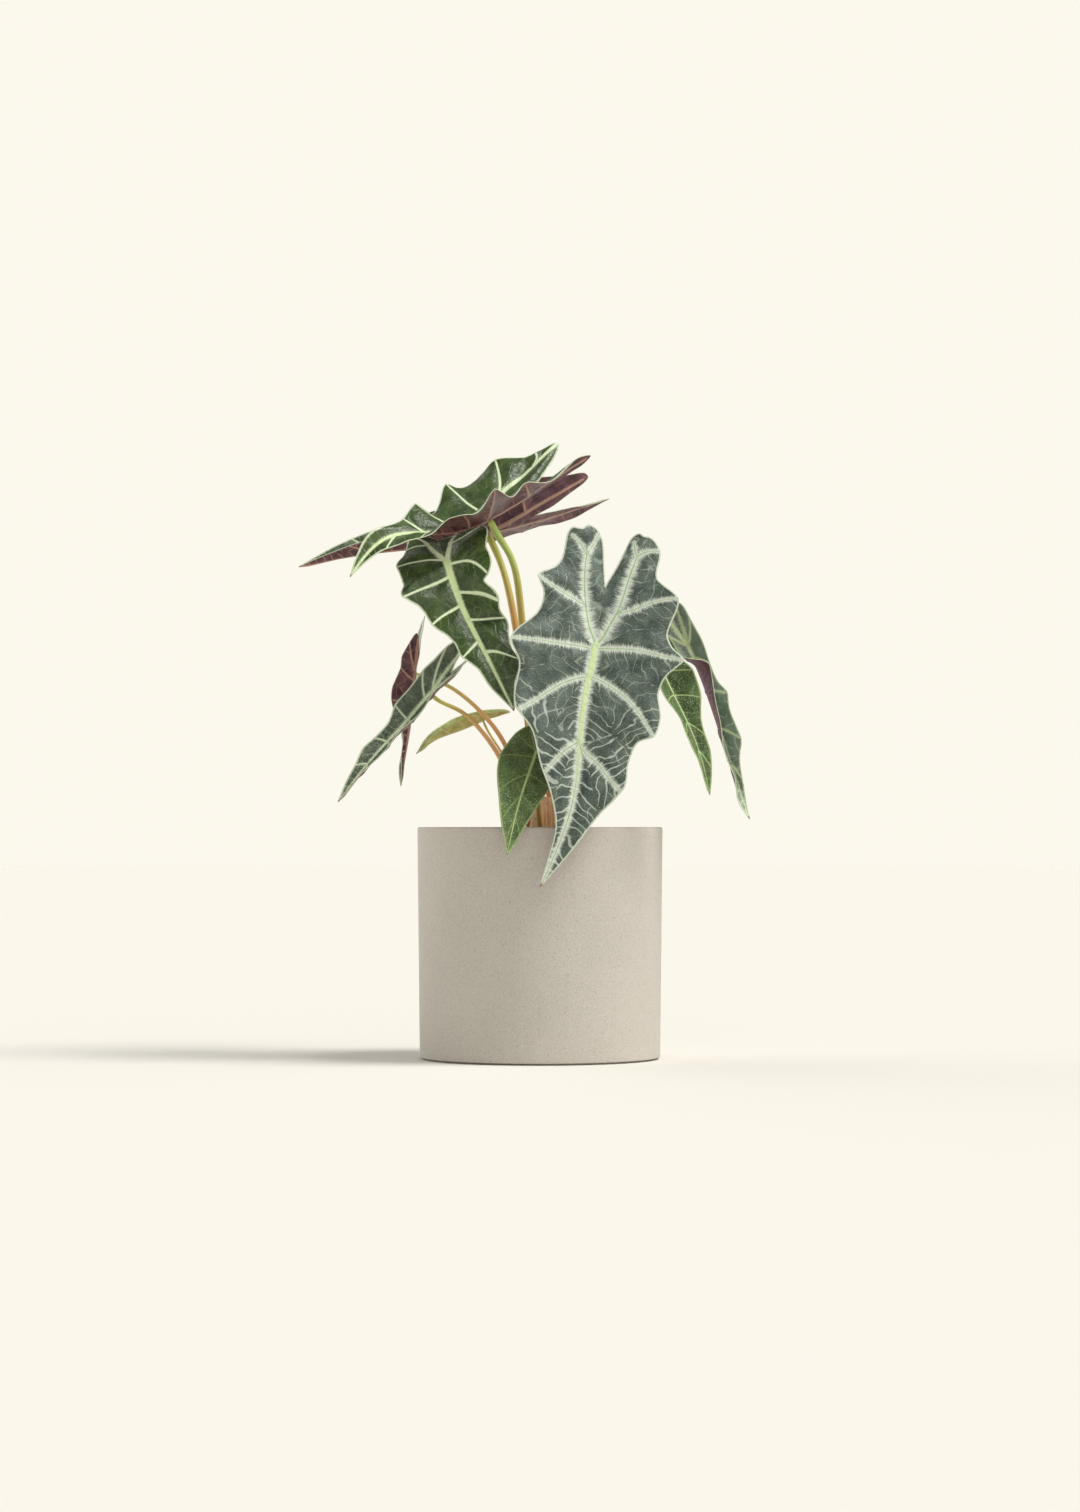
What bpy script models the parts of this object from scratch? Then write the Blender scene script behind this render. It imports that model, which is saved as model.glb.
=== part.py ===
"""Potted polly alocasia: a young arrow-leaved plant in a plain cylinder pot.

The pot stands on Z = 0 with its axis on Z, and the plant is seen from -Y in its usual view.
Places and sizes are written in millimetres and turned into metres when a mesh is made.

Each leaf blade is worked out from three things:
  a midrib, as five points in space: behind the joint with the stalk, the joint, two on the way, the tip;
  an outline, flat, in parts of the midrib's length, one list for each half;
  the wing angles, which say how far each half is folded up round the midrib.
"""

from dataclasses import dataclass

import bmesh
import bpy
import numpy as np

MM = 0.001

# Pot
POT_HEIGHT = 151.0
POT_RIM_RADIUS = 80.0
POT_BASE_RADIUS = 78.4
POT_WALL = 5.0
POT_FLOOR = 7.0
LIP_ROUND = 1.3
PLINTH_RADIUS = 74.0
PLINTH_HEIGHT = 1.2
FOOT_BEVEL = 0.8
FOOT_BEVEL_HEIGHT = 0.6
POT_SEGMENTS = 56

# Soil
SOIL_EDGE_HEIGHT = 138.0
SOIL_CENTRE_HEIGHT = 141.5
SOIL_SEGMENTS = 40

# Gap kept between neighbouring solids
GAP = 0.3

# Edges sharper than these angles, in degrees, stay sharp on the pot, soil and crown, and on leaves
HARD_SMOOTH = 40.0
LEAF_SMOOTH = 60.0

# Crown: the fused sheaths of the leaf stalks
CROWN_CENTRE = (3.0, 0.0)
CROWN_RADIUS = 11.4
CROWN_LOBE = 1.0
CROWN_LOBES = 4
CROWN_LOBE_ANGLE = 50.0
CROWN_SEGMENTS = 28
CROWN_RINGS = ((126.0, 0.70), (129.0, 0.86), (136.0, 0.97), (146.0, 1.02), (158.0, 1.0), (166.0, 0.97), (169.5, 0.93),
               (170.5, 0.88))

# Blades
BLADE_THICKNESS = 0.8
MARGIN_THICKNESS = 0.65
MIDRIB_DEPTH = 0.9
VEIN_DEPTH = 0.5
ARCH = 0.08

# Least distance from the midrib to the first column beside it, and its largest share of a narrow half
NEAR_MIDRIB = 1.1
NEAR_SHARE = 0.3

# Stalks and the sockets in the crown that hold them
STALK_SIDES = 8
STALK_APPROACH = 11.0
STALK_RINGS = {True: 16, False: 13}
SOCKET_RINGS = 4

# Where the rows of a blade start on the midrib, in parts of its length, from the notch to the tip
GROWN_ROOTS = (-.2, -.19, -.18, -.17, -.155, -.14, -.125, -.105, -.085, -.07, -.05, -.03, -.015, 0, .02, .07, .13, .18,
               .28, .38, .46, .58, .7, .84, 1)
YOUNG_ROOTS = (-.2, -.16, -.14, -.1, -.05, 0, .08, .18, .3, .42, .54, .66, .78, .9, 1)

# The rows that end at the point of a primary vein
GROWN_VEINS = (5, 10, 14, 18, 21)
YOUNG_VEINS = (3, 6, 9, 12)

# Places across a half blade, from the midrib to the margin
GROWN_COLUMNS = (0, .08, .38, .7, 1)
YOUNG_COLUMNS = (0, .14, .55, 1)

# Outlines of half blades as (distance from the midrib, distance along it), in parts of the midrib's length.
# Each list runs from the notch round the rear lobe and along the scalloped side to the tip.
FRONT_LEFT = ((0, -.249), (.018, -.34), (.039, -.444), (.075, -.49), (.108, -.493), (.126, -.471), (.164, -.47),
              (.185, -.425), (.191, -.331), (.213, -.286), (.278, -.225), (.245, -.172), (.254, -.074), (.308, -.003),
              (.34, .063), (.286, .143), (.278, .239), (.264, .323), (.192, .39), (.152, .496), (.112, .586),
              (.055, .734), (.03, .809), (.016, .893), (0, 1))
FRONT_RIGHT = ((0, -.249), (.024, -.312), (.058, -.416), (.078, -.474), (.104, -.49), (.121, -.478), (.148, -.477),
               (.19, -.431), (.189, -.345), (.198, -.304), (.293, -.232), (.289, -.178), (.269, -.087), (.312, -.023),
               (.355, .011), (.303, .071), (.28, .159), (.307, .246), (.291, .36), (.224, .397), (.195, .486),
               (.189, .572), (.117, .653), (.066, .782), (0, 1))
LEFT_LEFT = ((0, -.265), (.017, -.313), (.05, -.371), (.09, -.402), (.128, -.396), (.158, -.349), (.178, -.291),
             (.206, -.209), (.234, -.147), (.259, -.096), (.288, -.033), (.281, .029), (.279, .088), (.297, .132),
             (.311, .181), (.238, .232), (.21, .271), (.197, .354), (.155, .428), (.127, .505), (.13, .586),
             (.083, .695), (.067, .795), (.037, .893), (0, 1))
LEFT_RIGHT = ((0, -.265), (.061, -.267), (.134, -.282), (.191, -.292), (.238, -.272), (.267, -.214), (.286, -.148),
              (.262, -.074), (.242, .006), (.246, .075), (.241, .181), (.201, .22), (.17, .226), (.203, .302),
              (.225, .372), (.21, .413), (.226, .469), (.207, .552), (.179, .675), (.166, .766), (.125, .827),
              (.077, .879), (.048, .927), (.021, .973), (0, 1))
TOP_FAR = ((0, -.22), (.047, -.31), (.13, -.46), (.212, -.595), (.262, -.652), (.278, -.627), (.292, -.569),
           (.317, -.529), (.323, -.478), (.317, -.423), (.383, -.294), (.37, -.216), (.331, -.08), (.337, .018),
           (.37, .059), (.306, .136), (.215, .236), (.197, .303), (.234, .38), (.122, .516), (.06, .644), (.05, .74),
           (.04, .827), (.024, .919), (0, 1))
TOP_NEAR = ((0, -.24), (.03, -.36), (.06, -.48), (.095, -.6), (.14, -.675), (.165, -.6), (.168, -.52), (.152, -.44),
            (.148, -.37), (.18, -.29), (.215, -.21), (.21, -.15), (.23, -.08), (.31, -.01), (.35, .04), (.295, .11),
            (.28, .2), (.285, .285), (.24, .375), (.19, .45), (.155, .535), (.12, .65), (.067, .73), (.03, .86),
            (0, 1))
BACK_FAR = ((0, -.26), (.045, -.37), (.09, -.5), (.13, -.62), (.165, -.69), (.195, -.65), (.2, -.57), (.2, -.48),
            (.2, -.39), (.205, -.31), (.286, -.228), (.265, -.175), (.26, -.08), (.31, -.013), (.348, .037),
            (.295, .107), (.28, .2), (.285, .285), (.24, .375), (.188, .447), (.17, .5), (.139, .545), (.099, .698),
            (.047, .868), (0, 1))
BACK_NEAR = ((0, -.26), (.012, -.365), (.036, -.45), (.06, -.545), (.086, -.59), (.11, -.58), (.13, -.53),
             (.15, -.46), (.175, -.38), (.2, -.3), (.225, -.228), (.22, -.175), (.215, -.08), (.235, -.013),
             (.245, .037), (.22, .107), (.2, .2), (.195, .285), (.17, .375), (.145, .447), (.115, .52), (.095, .62),
             (.075, .74), (.04, .87), (0, 1))
YOUNG_HALF = ((0, -.22), (.03, -.32), (.07, -.42), (.12, -.38), (.17, -.25), (.21, -.1), (.25, .08), (.22, .2),
              (.22, .34), (.18, .46), (.15, .58), (.12, .7), (.08, .82), (.04, .92), (0, 1))
LOW_UPPER = ((0, -.2), (.03, -.26), (.06, -.34), (.122, -.375), (.146, -.29), (.14, -.185), (.142, -.076), (.13, .077),
             (.132, .236), (.09, .363), (.086, .517), (.094, .628), (.064, .74), (.038, .868), (0, 1))
LOW_LOWER = ((0, -.2), (.02, -.27), (.05, -.345), (.1, -.33), (.14, -.24), (.165, -.12), (.19, .05), (.19, .18),
             (.185, .32), (.16, .45), (.14, .57), (.11, .7), (.075, .82), (.04, .92), (0, 1))
REAR_FAR = ((0, -.2), (.02, -.34), (.045, -.5), (.1, -.4), (.17, -.25), (.21, -.1), (.22, .08), (.22, .2), (.2, .34),
            (.15, .46), (.1, .57), (.06, .68), (.045, .79), (.03, .9), (0, 1))
REAR_NEAR = ((0, -.2), (.015, -.27), (.03, -.33), (.052, -.358), (.098, -.263), (.138, -.144), (.132, -.041),
             (.187, .119), (.191, .25), (.15, .356), (.09, .46), (.045, .57), (.04, .7), (.03, .86), (0, 1))
SPROUT_HALF = ((0, -.2), (.019, -.27), (.043, -.357), (.074, -.323), (.105, -.212), (.13, -.085), (.155, .08),
               (.187, .2), (.187, .34), (.153, .46), (.128, .58), (.102, .7), (.068, .82), (.034, .92), (0, 1))
DROP_LEFT = ((0, -.2), (.045, -.22), (.102, -.225), (.146, -.19), (.203, -.113), (.25, .029), (.277, .182),
             (.251, .361), (.191, .522), (.144, .644), (.105, .742), (.07, .826), (.038, .9), (.018, .953), (0, 1))
DROP_RIGHT = ((0, -.2), (.05, -.28), (.1, -.33), (.15, -.33), (.2, -.28), (.22, -.15), (.24, .02), (.235, .18),
              (.205, .34), (.175, .46), (.14, .58), (.105, .7), (.07, .82), (.035, .92), (0, 1))
LONG_RIGHT = ((0, -.2), (.02, -.21), (.055, -.25), (.09, -.25), (.1, -.15), (.105, .005), (.1, .12), (.1, .24),
              (.135, .318), (.12, .406), (.13, .578), (.085, .654), (.045, .783), (.014, .9), (0, 1))
SHORT_RIGHT = ((0, -.2), (.041, -.215), (.09, -.225), (.132, -.173), (.154, -.065), (.171, .05), (.203, .142),
               (.192, .255), (.17, .353), (.105, .485), (.083, .601), (.082, .705), (.057, .824), (.026, .928), (0, 1))


@dataclass(frozen=True)
class Leaf:
    """One leaf: its blade and its stalk.

    Attributes:
        name: The last part of both objects' names.
        midrib: Five points, in millimetres: behind the joint, the joint, two between, the tip.
        wings: Rows of (place along the midrib, angle and curl of the first half, angle and curl of the second).
            An angle of 0 points to the first side of the midrib, 90 towards the viewer.
        halves: The outlines of the first and the second half.
        grown: True for a large scalloped blade, False for a small one.
        ripple: Height of the waves of the margin, in parts of the midrib's length.
        stalk: Points of the stalk from the crown up, without its last two, which follow from the blade.
        radii: The stalk's radius at its foot and at its top, in millimetres.
        green: The blade's colour.
    """

    name: str
    midrib: tuple
    wings: tuple
    halves: tuple
    grown: bool
    ripple: float
    stalk: tuple
    radii: tuple
    green: tuple


LEAVES = (
    Leaf("front", ((42, -55, 306), (35.6, -68, 266.7), (27.2, -80, 223.8), (20.8, -92, 168), (0, -96, 113.3)),
         ((-.4, 9, 0, 171, 0), (1, 9, 0, 171, 0)), (FRONT_LEFT, FRONT_RIGHT), True, .012,
         ((8.1, -4.2, 162), (9.5, -6, 175), (16.9, -14, 207.6), (28.5, -28, 244)), (3.7, 2.7), (.13, .2, .15, 1)),
    Leaf("left", ((-68.4, 14, 342), (-60.2, -25, 321.9), (-50.9, -36, 294.7), (-37.8, -48, 267.7), (-16.6, -62, 225)),
         ((-.4, 2, 0, 199, 0), (0, 12, 0, 170, 0), (1, 14, 0, 160, 0)), (LEFT_LEFT, LEFT_RIGHT), True, .014,
         ((-1.3, -5.1, 162), (-1.6, -5.6, 175), (-3, -7, 204), (-10.4, -9, 232), (-22.8, -11, 263), (-41, -10, 298)),
         (3.6, 2.6), (.07, .14, .06, 1)),
    Leaf("top", ((2, 6, 370.6), (-32.6, -8, 351.1), (-60.3, -22, 341.5), (-99.5, -46, 335.6), (-121.3, -60, 310.6)),
         ((-.6, -30, 0, 62, 0), (0, -38, 0, 73, 0), (.4, -38, 0, 85, 0), (.62, -30, 0, 135, 0), (1, 0, 0, 165, 0)),
         (TOP_FAR, TOP_NEAR), True, .02,
         ((7.2, 5.1, 162), (6.8, 5, 175), (1, 2, 208), (-6, -1, 243), (-10.4, -4, 273), (-13.5, -6, 302),
          (-19.6, -8, 328)), (3.7, 2.6), (.09, .17, .08, 1)),
    Leaf("back", ((4, 46, 361.3), (-34.5, 38, 345.4), (-66.2, 30, 337.5), (-110.4, 14, 330.4), (-157.6, 0, 321)),
         ((-.6, -112, 0, 8, 0), (-.12, -108, 0, 16, 0), (0, -90, 0, 22, 0), (.4, -72, 0, 45, 0), (.62, -20, 0, 45, 0),
          (1, -10, 0, 40, 0)),
         (BACK_FAR, BACK_NEAR), True, .012,
         ((-2.1, 5.1, 162), (-2.6, 5.6, 175), (-6, 8, 208), (-10.5, 12, 243), (-14.5, 17, 273), (-19.6, 24, 302),
          (-26.5, 32, 327)), (3.7, 2.6), (.22, .09, .12, 1)),
    Leaf("low_left", ((-60.6, -16, 247.6), (-70.7, -20, 237.2), (-85.9, -30, 218.8), (-103.3, -44, 199.1),
                      (-128.9, -58, 167)),
         ((-.4, 10, 0, 120, .35), (0, 10, 0, 120, .4), (1, 10, 0, 116, .35)), (LOW_UPPER, LOW_LOWER), False, .012,
         ((-3.8, -4.2, 147), (-9, -6, 156), (-26.1, -3, 196), (-38.5, 0, 214), (-50.2, 1, 225.5)), (2.4, 1.5),
         (.1, .18, .11, 1)),
    Leaf("rear_left", ((-79.2, 4, 263.6), (-81.3, 8, 251.3), (-83.3, 10, 231), (-86.4, 4, 206.6), (-90.5, -8, 177.7)),
         ((-.4, -100, 0, 60, 0), (0, -70, 0, 12, 0), (.6, -60, 0, 20, 0), (1, 0, 0, 60, 0)), (REAR_FAR, REAR_NEAR),
         False, .012,
         ((-4.8, 1.7, 147), (-9.5, 2.4, 157), (-21.6, 1.5, 202), (-36.6, 0, 224), (-47, -1, 234), (-59.8, 0, 243)),
         (2.4, 1.4), (.22, .09, .12, 1)),
    Leaf("sprout", ((-24.4, 22, 225.1), (-37.5, 20, 220.8), (-53.2, 16, 214.1), (-66.9, 10, 208.7), (-80.8, 2, 199)),
         ((-.2, -80, 0, 110, 0), (0, -25, 0, 55, 0), (.7, -20, 0, 50, 0), (1, -60, 0, 110, 0)),
         (SPROUT_HALF, SPROUT_HALF), False, .008,
         ((-3, 5.8, 152), (-8.5, 9, 161), (-19.6, 12, 189), (-26.5, 15, 202)), (1.3, .9), (.22, .3, .1, 1)),
    Leaf("young_front", ((0, -50, 208.6), (-2.6, -56, 198.9), (-6.4, -66, 187.3), (-12.7, -79, 168.1),
                         (-20.8, -90, 133.4)),
         ((-.4, 8, 0, 172, 0), (1, 8, 0, 172, 0)), (DROP_LEFT, DROP_RIGHT), False, .006,
         ((.9, -7.7, 148), (-.5, -13, 157), (-1.3, -24, 174), (-1.5, -38, 190)), (2.1, 1.5), (.12, .25, .07, 1)),
    Leaf("rear_right", ((88.6, -9, 284.5), (97.1, -6, 267.7), (107.5, -8, 242.2), (119.4, -16, 204.9),
                        (135.3, -30, 156.2)),
         ((-.4, 20, 0, 140, 0), (-.05, 22, 0, 135, 0), (.04, 44, .25, 135, 0), (.11, 72, .55, 135, 0),
          (.22, 76, .5, 135, 0), (.36, 78, .24, 135, 0), (.75, 72, .2, 135, 0), (1, 25, .1, 160, 0)),
         (YOUNG_HALF, LONG_RIGHT), False, .012,
         ((10.9, 1.4, 149), (15.5, 2.4, 158), (32.7, 6, 194), (55, 10, 226), (76, 11, 250)), (2.6, 1.6),
         (.13, .19, .14, 1)),
    Leaf("right", ((70.8, -38, 270.1), (76.4, -44, 255), (85.8, -52, 233.6), (97.6, -60, 207.8), (108, -66, 171.4)),
         ((-.4, 74, 0, 172, 0), (0, 76, 0, 172, 0), (1, 76, 0, 175, 0)), (YOUNG_HALF, SHORT_RIGHT), False, .01,
         ((9.6, -4.6, 147), (14.5, -8, 156), (34, -14, 192), (52, -20, 221), (62, -24, 237)), (2.4, 1.5),
         (.13, .27, .08, 1)),
)


def spline(knots, values, places):
    """A smooth curve through values: the natural cubic spline.

    Args:
        knots: Rising parameters, one for each value.
        values: Array of points, one row for each knot.
        places: Parameters to read the curve at.

    Returns:
        Array of points, one row for each place.
    """
    knots = np.asarray(knots, float)
    values = np.asarray(values, float)
    step = np.diff(knots)
    count = len(knots)
    matrix = np.eye(count)
    bend = np.zeros_like(values)
    for i in range(1, count - 1):
        matrix[i, i - 1:i + 2] = (step[i - 1], 2 * (step[i - 1] + step[i]), step[i])
        bend[i] = 6 * ((values[i + 1] - values[i]) / step[i] - (values[i] - values[i - 1]) / step[i - 1])
    bend = np.linalg.solve(matrix, bend)
    k = np.clip(np.searchsorted(knots, places) - 1, 0, count - 2)
    width = step[k][:, None]
    after = (np.asarray(places) - knots[k])[:, None]
    before = width - after
    return ((bend[k] * before ** 3 + bend[k + 1] * after ** 3) / (6 * width)
            + (values[k] / width - bend[k] * width / 6) * before
            + (values[k + 1] / width - bend[k + 1] * width / 6) * after)


def through(points, places):
    """Read a smooth curve through points at fractions of its chord length.

    Args:
        points: The points that the curve passes.
        places: Fractions, 0 at the first point and 1 at the last.

    Returns:
        Array of points.
    """
    points = np.asarray(points, float)
    chords = np.linalg.norm(np.diff(points, axis=0), axis=1)
    knots = np.concatenate(([0], np.cumsum(chords)))
    return spline(knots, points, np.asarray(places) * knots[-1])


def unit(vectors):
    """Vectors scaled to length 1, along the last axis."""
    return vectors / np.linalg.norm(vectors, axis=-1, keepdims=True)


class Midrib:
    """The centre line of a blade, measured in parts of the length from the joint to the tip."""

    SAMPLES = 401

    def __init__(self, leaf):
        self.wings = np.array(leaf.wings, float)
        fractions = np.linspace(0, 1, self.SAMPLES)
        self.curve = through(leaf.midrib, fractions)
        chords = np.linalg.norm(np.diff(np.array(leaf.midrib), axis=0), axis=1)
        run = np.concatenate(([0], np.cumsum(np.linalg.norm(np.diff(self.curve, axis=0), axis=1))))
        to_joint = np.interp(chords[0] / chords.sum(), fractions, run)
        self.length = run[-1] - to_joint
        self.places = (run - to_joint) / self.length
        self.heading = unit(np.gradient(self.curve, axis=0))

    def frame(self, roots):
        """Point, heading, viewer direction and side direction at each root."""
        point = np.stack([np.interp(roots, self.places, self.curve[:, i]) for i in range(3)], -1)
        heading = unit(np.stack([np.interp(roots, self.places, self.heading[:, i]) for i in range(3)], -1))
        behind = np.minimum(roots - self.places[0], 0)[:, None] * self.length
        viewer = np.array((0, -1.0, 0))
        front = unit(viewer - (heading @ viewer)[:, None] * heading)
        return point + behind * heading, heading, front, np.cross(heading, front)

    def wing(self, roots, side):
        """Direction across one half, its upper normal and its curl, at each root."""
        _, _, front, across = self.frame(roots)
        angle = np.radians(np.interp(roots, self.wings[:, 0], self.wings[:, 1 + 2 * side]))[:, None]
        curl = np.interp(roots, self.wings[:, 0], self.wings[:, 2 + 2 * side])
        out = np.cos(angle) * across + np.sin(angle) * front
        upward = angle + np.pi / 2 * (1 - 2 * side)
        return out, np.cos(upward) * across + np.sin(upward) * front, curl

    def joint_normal(self):
        """The upper normal at the joint, between those of the two halves."""
        root = np.zeros(1)
        return unit(self.wing(root, 0)[1] + self.wing(root, 1)[1])[0]


def ripples(count, veins):
    """The wave of the margin for each row: 1 at a vein's end, -1 half way to the next."""
    rows = np.arange(count)
    phase = np.interp(rows, (0,) + veins + (count - 1,), np.arange(len(veins) + 2))
    return np.cos(2 * np.pi * phase)


def half_surface(leaf, midrib, roots, veins, columns, side):
    """The middle surface of one half of a blade.

    A point of the half goes from its root on the midrib straight towards its point of the outline, arched a
    little towards the rear, curled by the wing's curl and lifted by the margin's ripple.

    Returns:
        Array of rows by columns of points.
    """
    outline = np.array(leaf.halves[side])
    point, heading, _, _ = midrib.frame(roots)
    out, normal, curl = midrib.wing(roots, side)
    width = (outline[:, 0] * midrib.length)[:, None]
    along = ((outline[:, 1] - roots) * midrib.length)[:, None]
    lift = (leaf.ripple * midrib.length * ripples(len(roots), veins) * np.minimum(outline[:, 0] / .2, 1))[:, None]
    rows = []
    for column in columns:
        s = np.full_like(width, column)
        if column == columns[1]:
            s = np.clip(NEAR_MIDRIB / np.maximum(width, NEAR_MIDRIB), column, NEAR_SHARE)
        across = width * s
        back = s * along - ARCH * width * s * (1 - s)
        rise = (curl[:, None] * width + lift) * s * s
        rows.append(point + across * out + back * heading + rise * normal)
    return np.stack(rows, 1)


def blade_mesh(leaf):
    """Vertices and triangles of a blade, a thin closed shell with a midrib and ridges under the primary veins.

    Returns:
        Vertices as an array in millimetres, and triangles as a list.
    """
    roots = np.array(GROWN_ROOTS if leaf.grown else YOUNG_ROOTS, float)
    veins = GROWN_VEINS if leaf.grown else YOUNG_VEINS
    columns = GROWN_COLUMNS if leaf.grown else YOUNG_COLUMNS
    midrib = Midrib(leaf)
    halves = [half_surface(leaf, midrib, roots, veins, columns, side) for side in (0, 1)]
    last = len(roots) - 1
    edge = len(columns) - 1

    points = []
    index = [np.zeros((last + 1, edge + 1), int) for _ in halves]
    extra = []
    for row in range(last + 1):
        for side, half in enumerate(halves):
            for column in range(edge + 1):
                if row in (0, last):
                    if side == 0 and column == 0:
                        points.append((halves[0][row, edge] + halves[1][row, edge]) / 2)
                        extra.append(0)
                    index[side][row, column] = len(points) - 1
                elif column == 0 and side == 1:
                    index[side][row, 0] = index[0][row, 0]
                else:
                    points.append(half[row, column])
                    ridge = VEIN_DEPTH if row in veins and column < edge else 0
                    extra.append(MIDRIB_DEPTH * (1 - row / last / 2) if column == 0 else ridge)
                    index[side][row, column] = len(points) - 1

    faces = []
    for side in (0, 1):
        grid = index[side]
        for row in range(last):
            for column in range(edge):
                a, b = grid[row, column], grid[row, column + 1]
                c, d = grid[row + 1, column + 1], grid[row + 1, column]
                for triangle in ((a, b, c), (a, c, d)):
                    if len(set(triangle)) == 3:
                        faces.append(triangle if side else triangle[::-1])

    points = np.array(points)
    normals = np.zeros_like(points)
    for triangle in faces:
        a, b, c = points[list(triangle)]
        normals[list(triangle)] += np.cross(b - a, c - a)
    reference = midrib.joint_normal()
    joint = index[0][np.argmin(np.abs(roots)), 0]
    if normals[joint] @ reference < 0:
        normals = -normals
        faces = [triangle[::-1] for triangle in faces]
    normals = unit(normals)

    margin = list(index[0][:, edge]) + list(index[1][last - 1:0:-1, edge])
    half_thickness = np.full(len(points), BLADE_THICKNESS / 2)
    half_thickness[margin] = MARGIN_THICKNESS / 2
    upper = points + normals * half_thickness[:, None]
    lower = points - normals * (half_thickness + np.array(extra))[:, None]
    count = len(points)
    shell = list(faces) + [tuple(count + v for v in triangle[::-1]) for triangle in faces]
    used = {(a, b) for face in faces for a, b in zip(face, face[1:] + face[:1])}
    for a, b in zip(margin, margin[1:] + margin[:1]):
        if (a, b) not in used:
            a, b = b, a
        shell += [(b, a, count + a), (b, count + a, count + b)]
    return np.concatenate((upper, lower)), shell


def tube_mesh(path, radii, sides, grow=0.0, longer=0.0):
    """Vertices and faces of a round tube with flat ends.

    Args:
        path: Points of its axis.
        radii: Its radius at each point.
        sides: Corners of its cross-section.
        grow: Added to every radius.
        longer: Added past the first point.
    """
    path = np.array(path, float)
    heading = unit(np.gradient(path, axis=0))
    path[0] -= heading[0] * longer
    across = unit(np.cross(heading, (0.3, 1.0, 0.1)))
    up = np.cross(across, heading)
    turn = np.arange(sides) * 2 * np.pi / sides
    rings = (path[:, None] + (np.array(radii) + grow)[:, None, None]
             * (np.cos(turn)[None, :, None] * across[:, None] + np.sin(turn)[None, :, None] * up[:, None]))
    return loft(rings)


def loft(rings):
    """Vertices and faces that join rings of points and close both ends with flat faces."""
    count, sides, _ = rings.shape
    faces = [tuple(range(sides))]
    for ring in range(count - 1):
        for k in range(sides):
            a = ring * sides + k
            b = ring * sides + (k + 1) % sides
            faces.append((a, a + sides, b + sides, b))
    faces.append(tuple(range(count * sides - 1, (count - 1) * sides - 1, -1)))
    return rings.reshape(-1, 3), faces


def turned_mesh(profile, sides):
    """Vertices and faces of a turned solid.

    Args:
        profile: Points (radius, height) from the axis at the bottom, round the outside, to the axis at the top.
        sides: Number of facets round the axis.
    """
    turn = np.arange(sides) * 2 * np.pi / sides
    inner = profile[1:-1]
    rings = np.array([[(r * np.cos(t), r * np.sin(t), z) for t in turn] for r, z in inner])
    points = list(rings.reshape(-1, 3)) + [(0, 0, profile[0][1]), (0, 0, profile[-1][1])]
    bottom, top = len(points) - 2, len(points) - 1
    faces = []
    for k in range(sides):
        following = (k + 1) % sides
        faces.append((bottom, following, k))
        for ring in range(len(inner) - 1):
            a, b = ring * sides + k, ring * sides + following
            faces.append((a, b, b + sides, a + sides))
        faces.append(((len(inner) - 1) * sides + k, (len(inner) - 1) * sides + following, top))
    return np.array(points), faces


def material(name, colour, roughness, metallic=0.0):
    """A Principled BSDF material."""
    made = bpy.data.materials.new(name)
    made.use_nodes = True
    shader = made.node_tree.nodes["Principled BSDF"]
    shader.inputs["Base Color"].default_value = colour
    shader.inputs["Roughness"].default_value = roughness
    shader.inputs["Metallic"].default_value = metallic
    return made


def add_object(name, shape, finish, smooth_angle=HARD_SMOOTH):
    """Make an object from vertices in millimetres and faces, with its faces pointing out."""
    points, faces = shape
    mesh = bpy.data.meshes.new(name)
    mesh.from_pydata([tuple(p) for p in np.asarray(points) * MM], [], [tuple(int(v) for v in f) for f in faces])
    work = bmesh.new()
    work.from_mesh(mesh)
    bmesh.ops.recalc_face_normals(work, faces=work.faces)
    work.to_mesh(mesh)
    work.free()
    mesh.shade_smooth()
    mesh.set_sharp_from_angle(angle=np.radians(smooth_angle))
    if finish:
        mesh.materials.append(finish)
    made = bpy.data.objects.new(name, mesh)
    bpy.context.collection.objects.link(made)
    return made


def cut(target, cutter):
    """Cut one object with another, which stays as a hidden wire guide."""
    cutter.hide_render = True
    cutter.display_type = "WIRE"
    modifier = target.modifiers.new(cutter.name, "BOOLEAN")
    modifier.operation = "DIFFERENCE"
    modifier.object = cutter
    modifier.solver = "EXACT"


def add_pot():
    """The pot: one turned wall and floor, with a shadow step above its flat foot and a rounded lip."""
    inner = POT_RIM_RADIUS - POT_WALL
    wall_foot = PLINTH_HEIGHT + FOOT_BEVEL_HEIGHT
    lip = [(POT_RIM_RADIUS - LIP_ROUND * (1 - np.cos(t)), POT_HEIGHT - LIP_ROUND * (1 - np.sin(t)))
           for t in np.radians((0, 30, 60, 90))]
    lip_in = [(inner + LIP_ROUND * (1 - np.cos(t)), POT_HEIGHT - LIP_ROUND * (1 - np.sin(t)))
              for t in np.radians((90, 45, 0))]
    profile = [(0, 0), (PLINTH_RADIUS, 0), (PLINTH_RADIUS, PLINTH_HEIGHT), (POT_BASE_RADIUS - FOOT_BEVEL, PLINTH_HEIGHT),
               (POT_BASE_RADIUS, wall_foot), *lip, *lip_in, (inner, POT_FLOOR), (0, POT_FLOOR)]
    clay = material("pot_clay", (.62, .57, .5, 1), .75)
    return add_object("pot", turned_mesh(profile, POT_SEGMENTS), clay)


def soil_radius():
    """The soil's radius: the pot's inside, faceted, less the gap."""
    inside = (POT_RIM_RADIUS - POT_WALL) * np.cos(np.pi / POT_SEGMENTS)
    return inside - GAP


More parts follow.
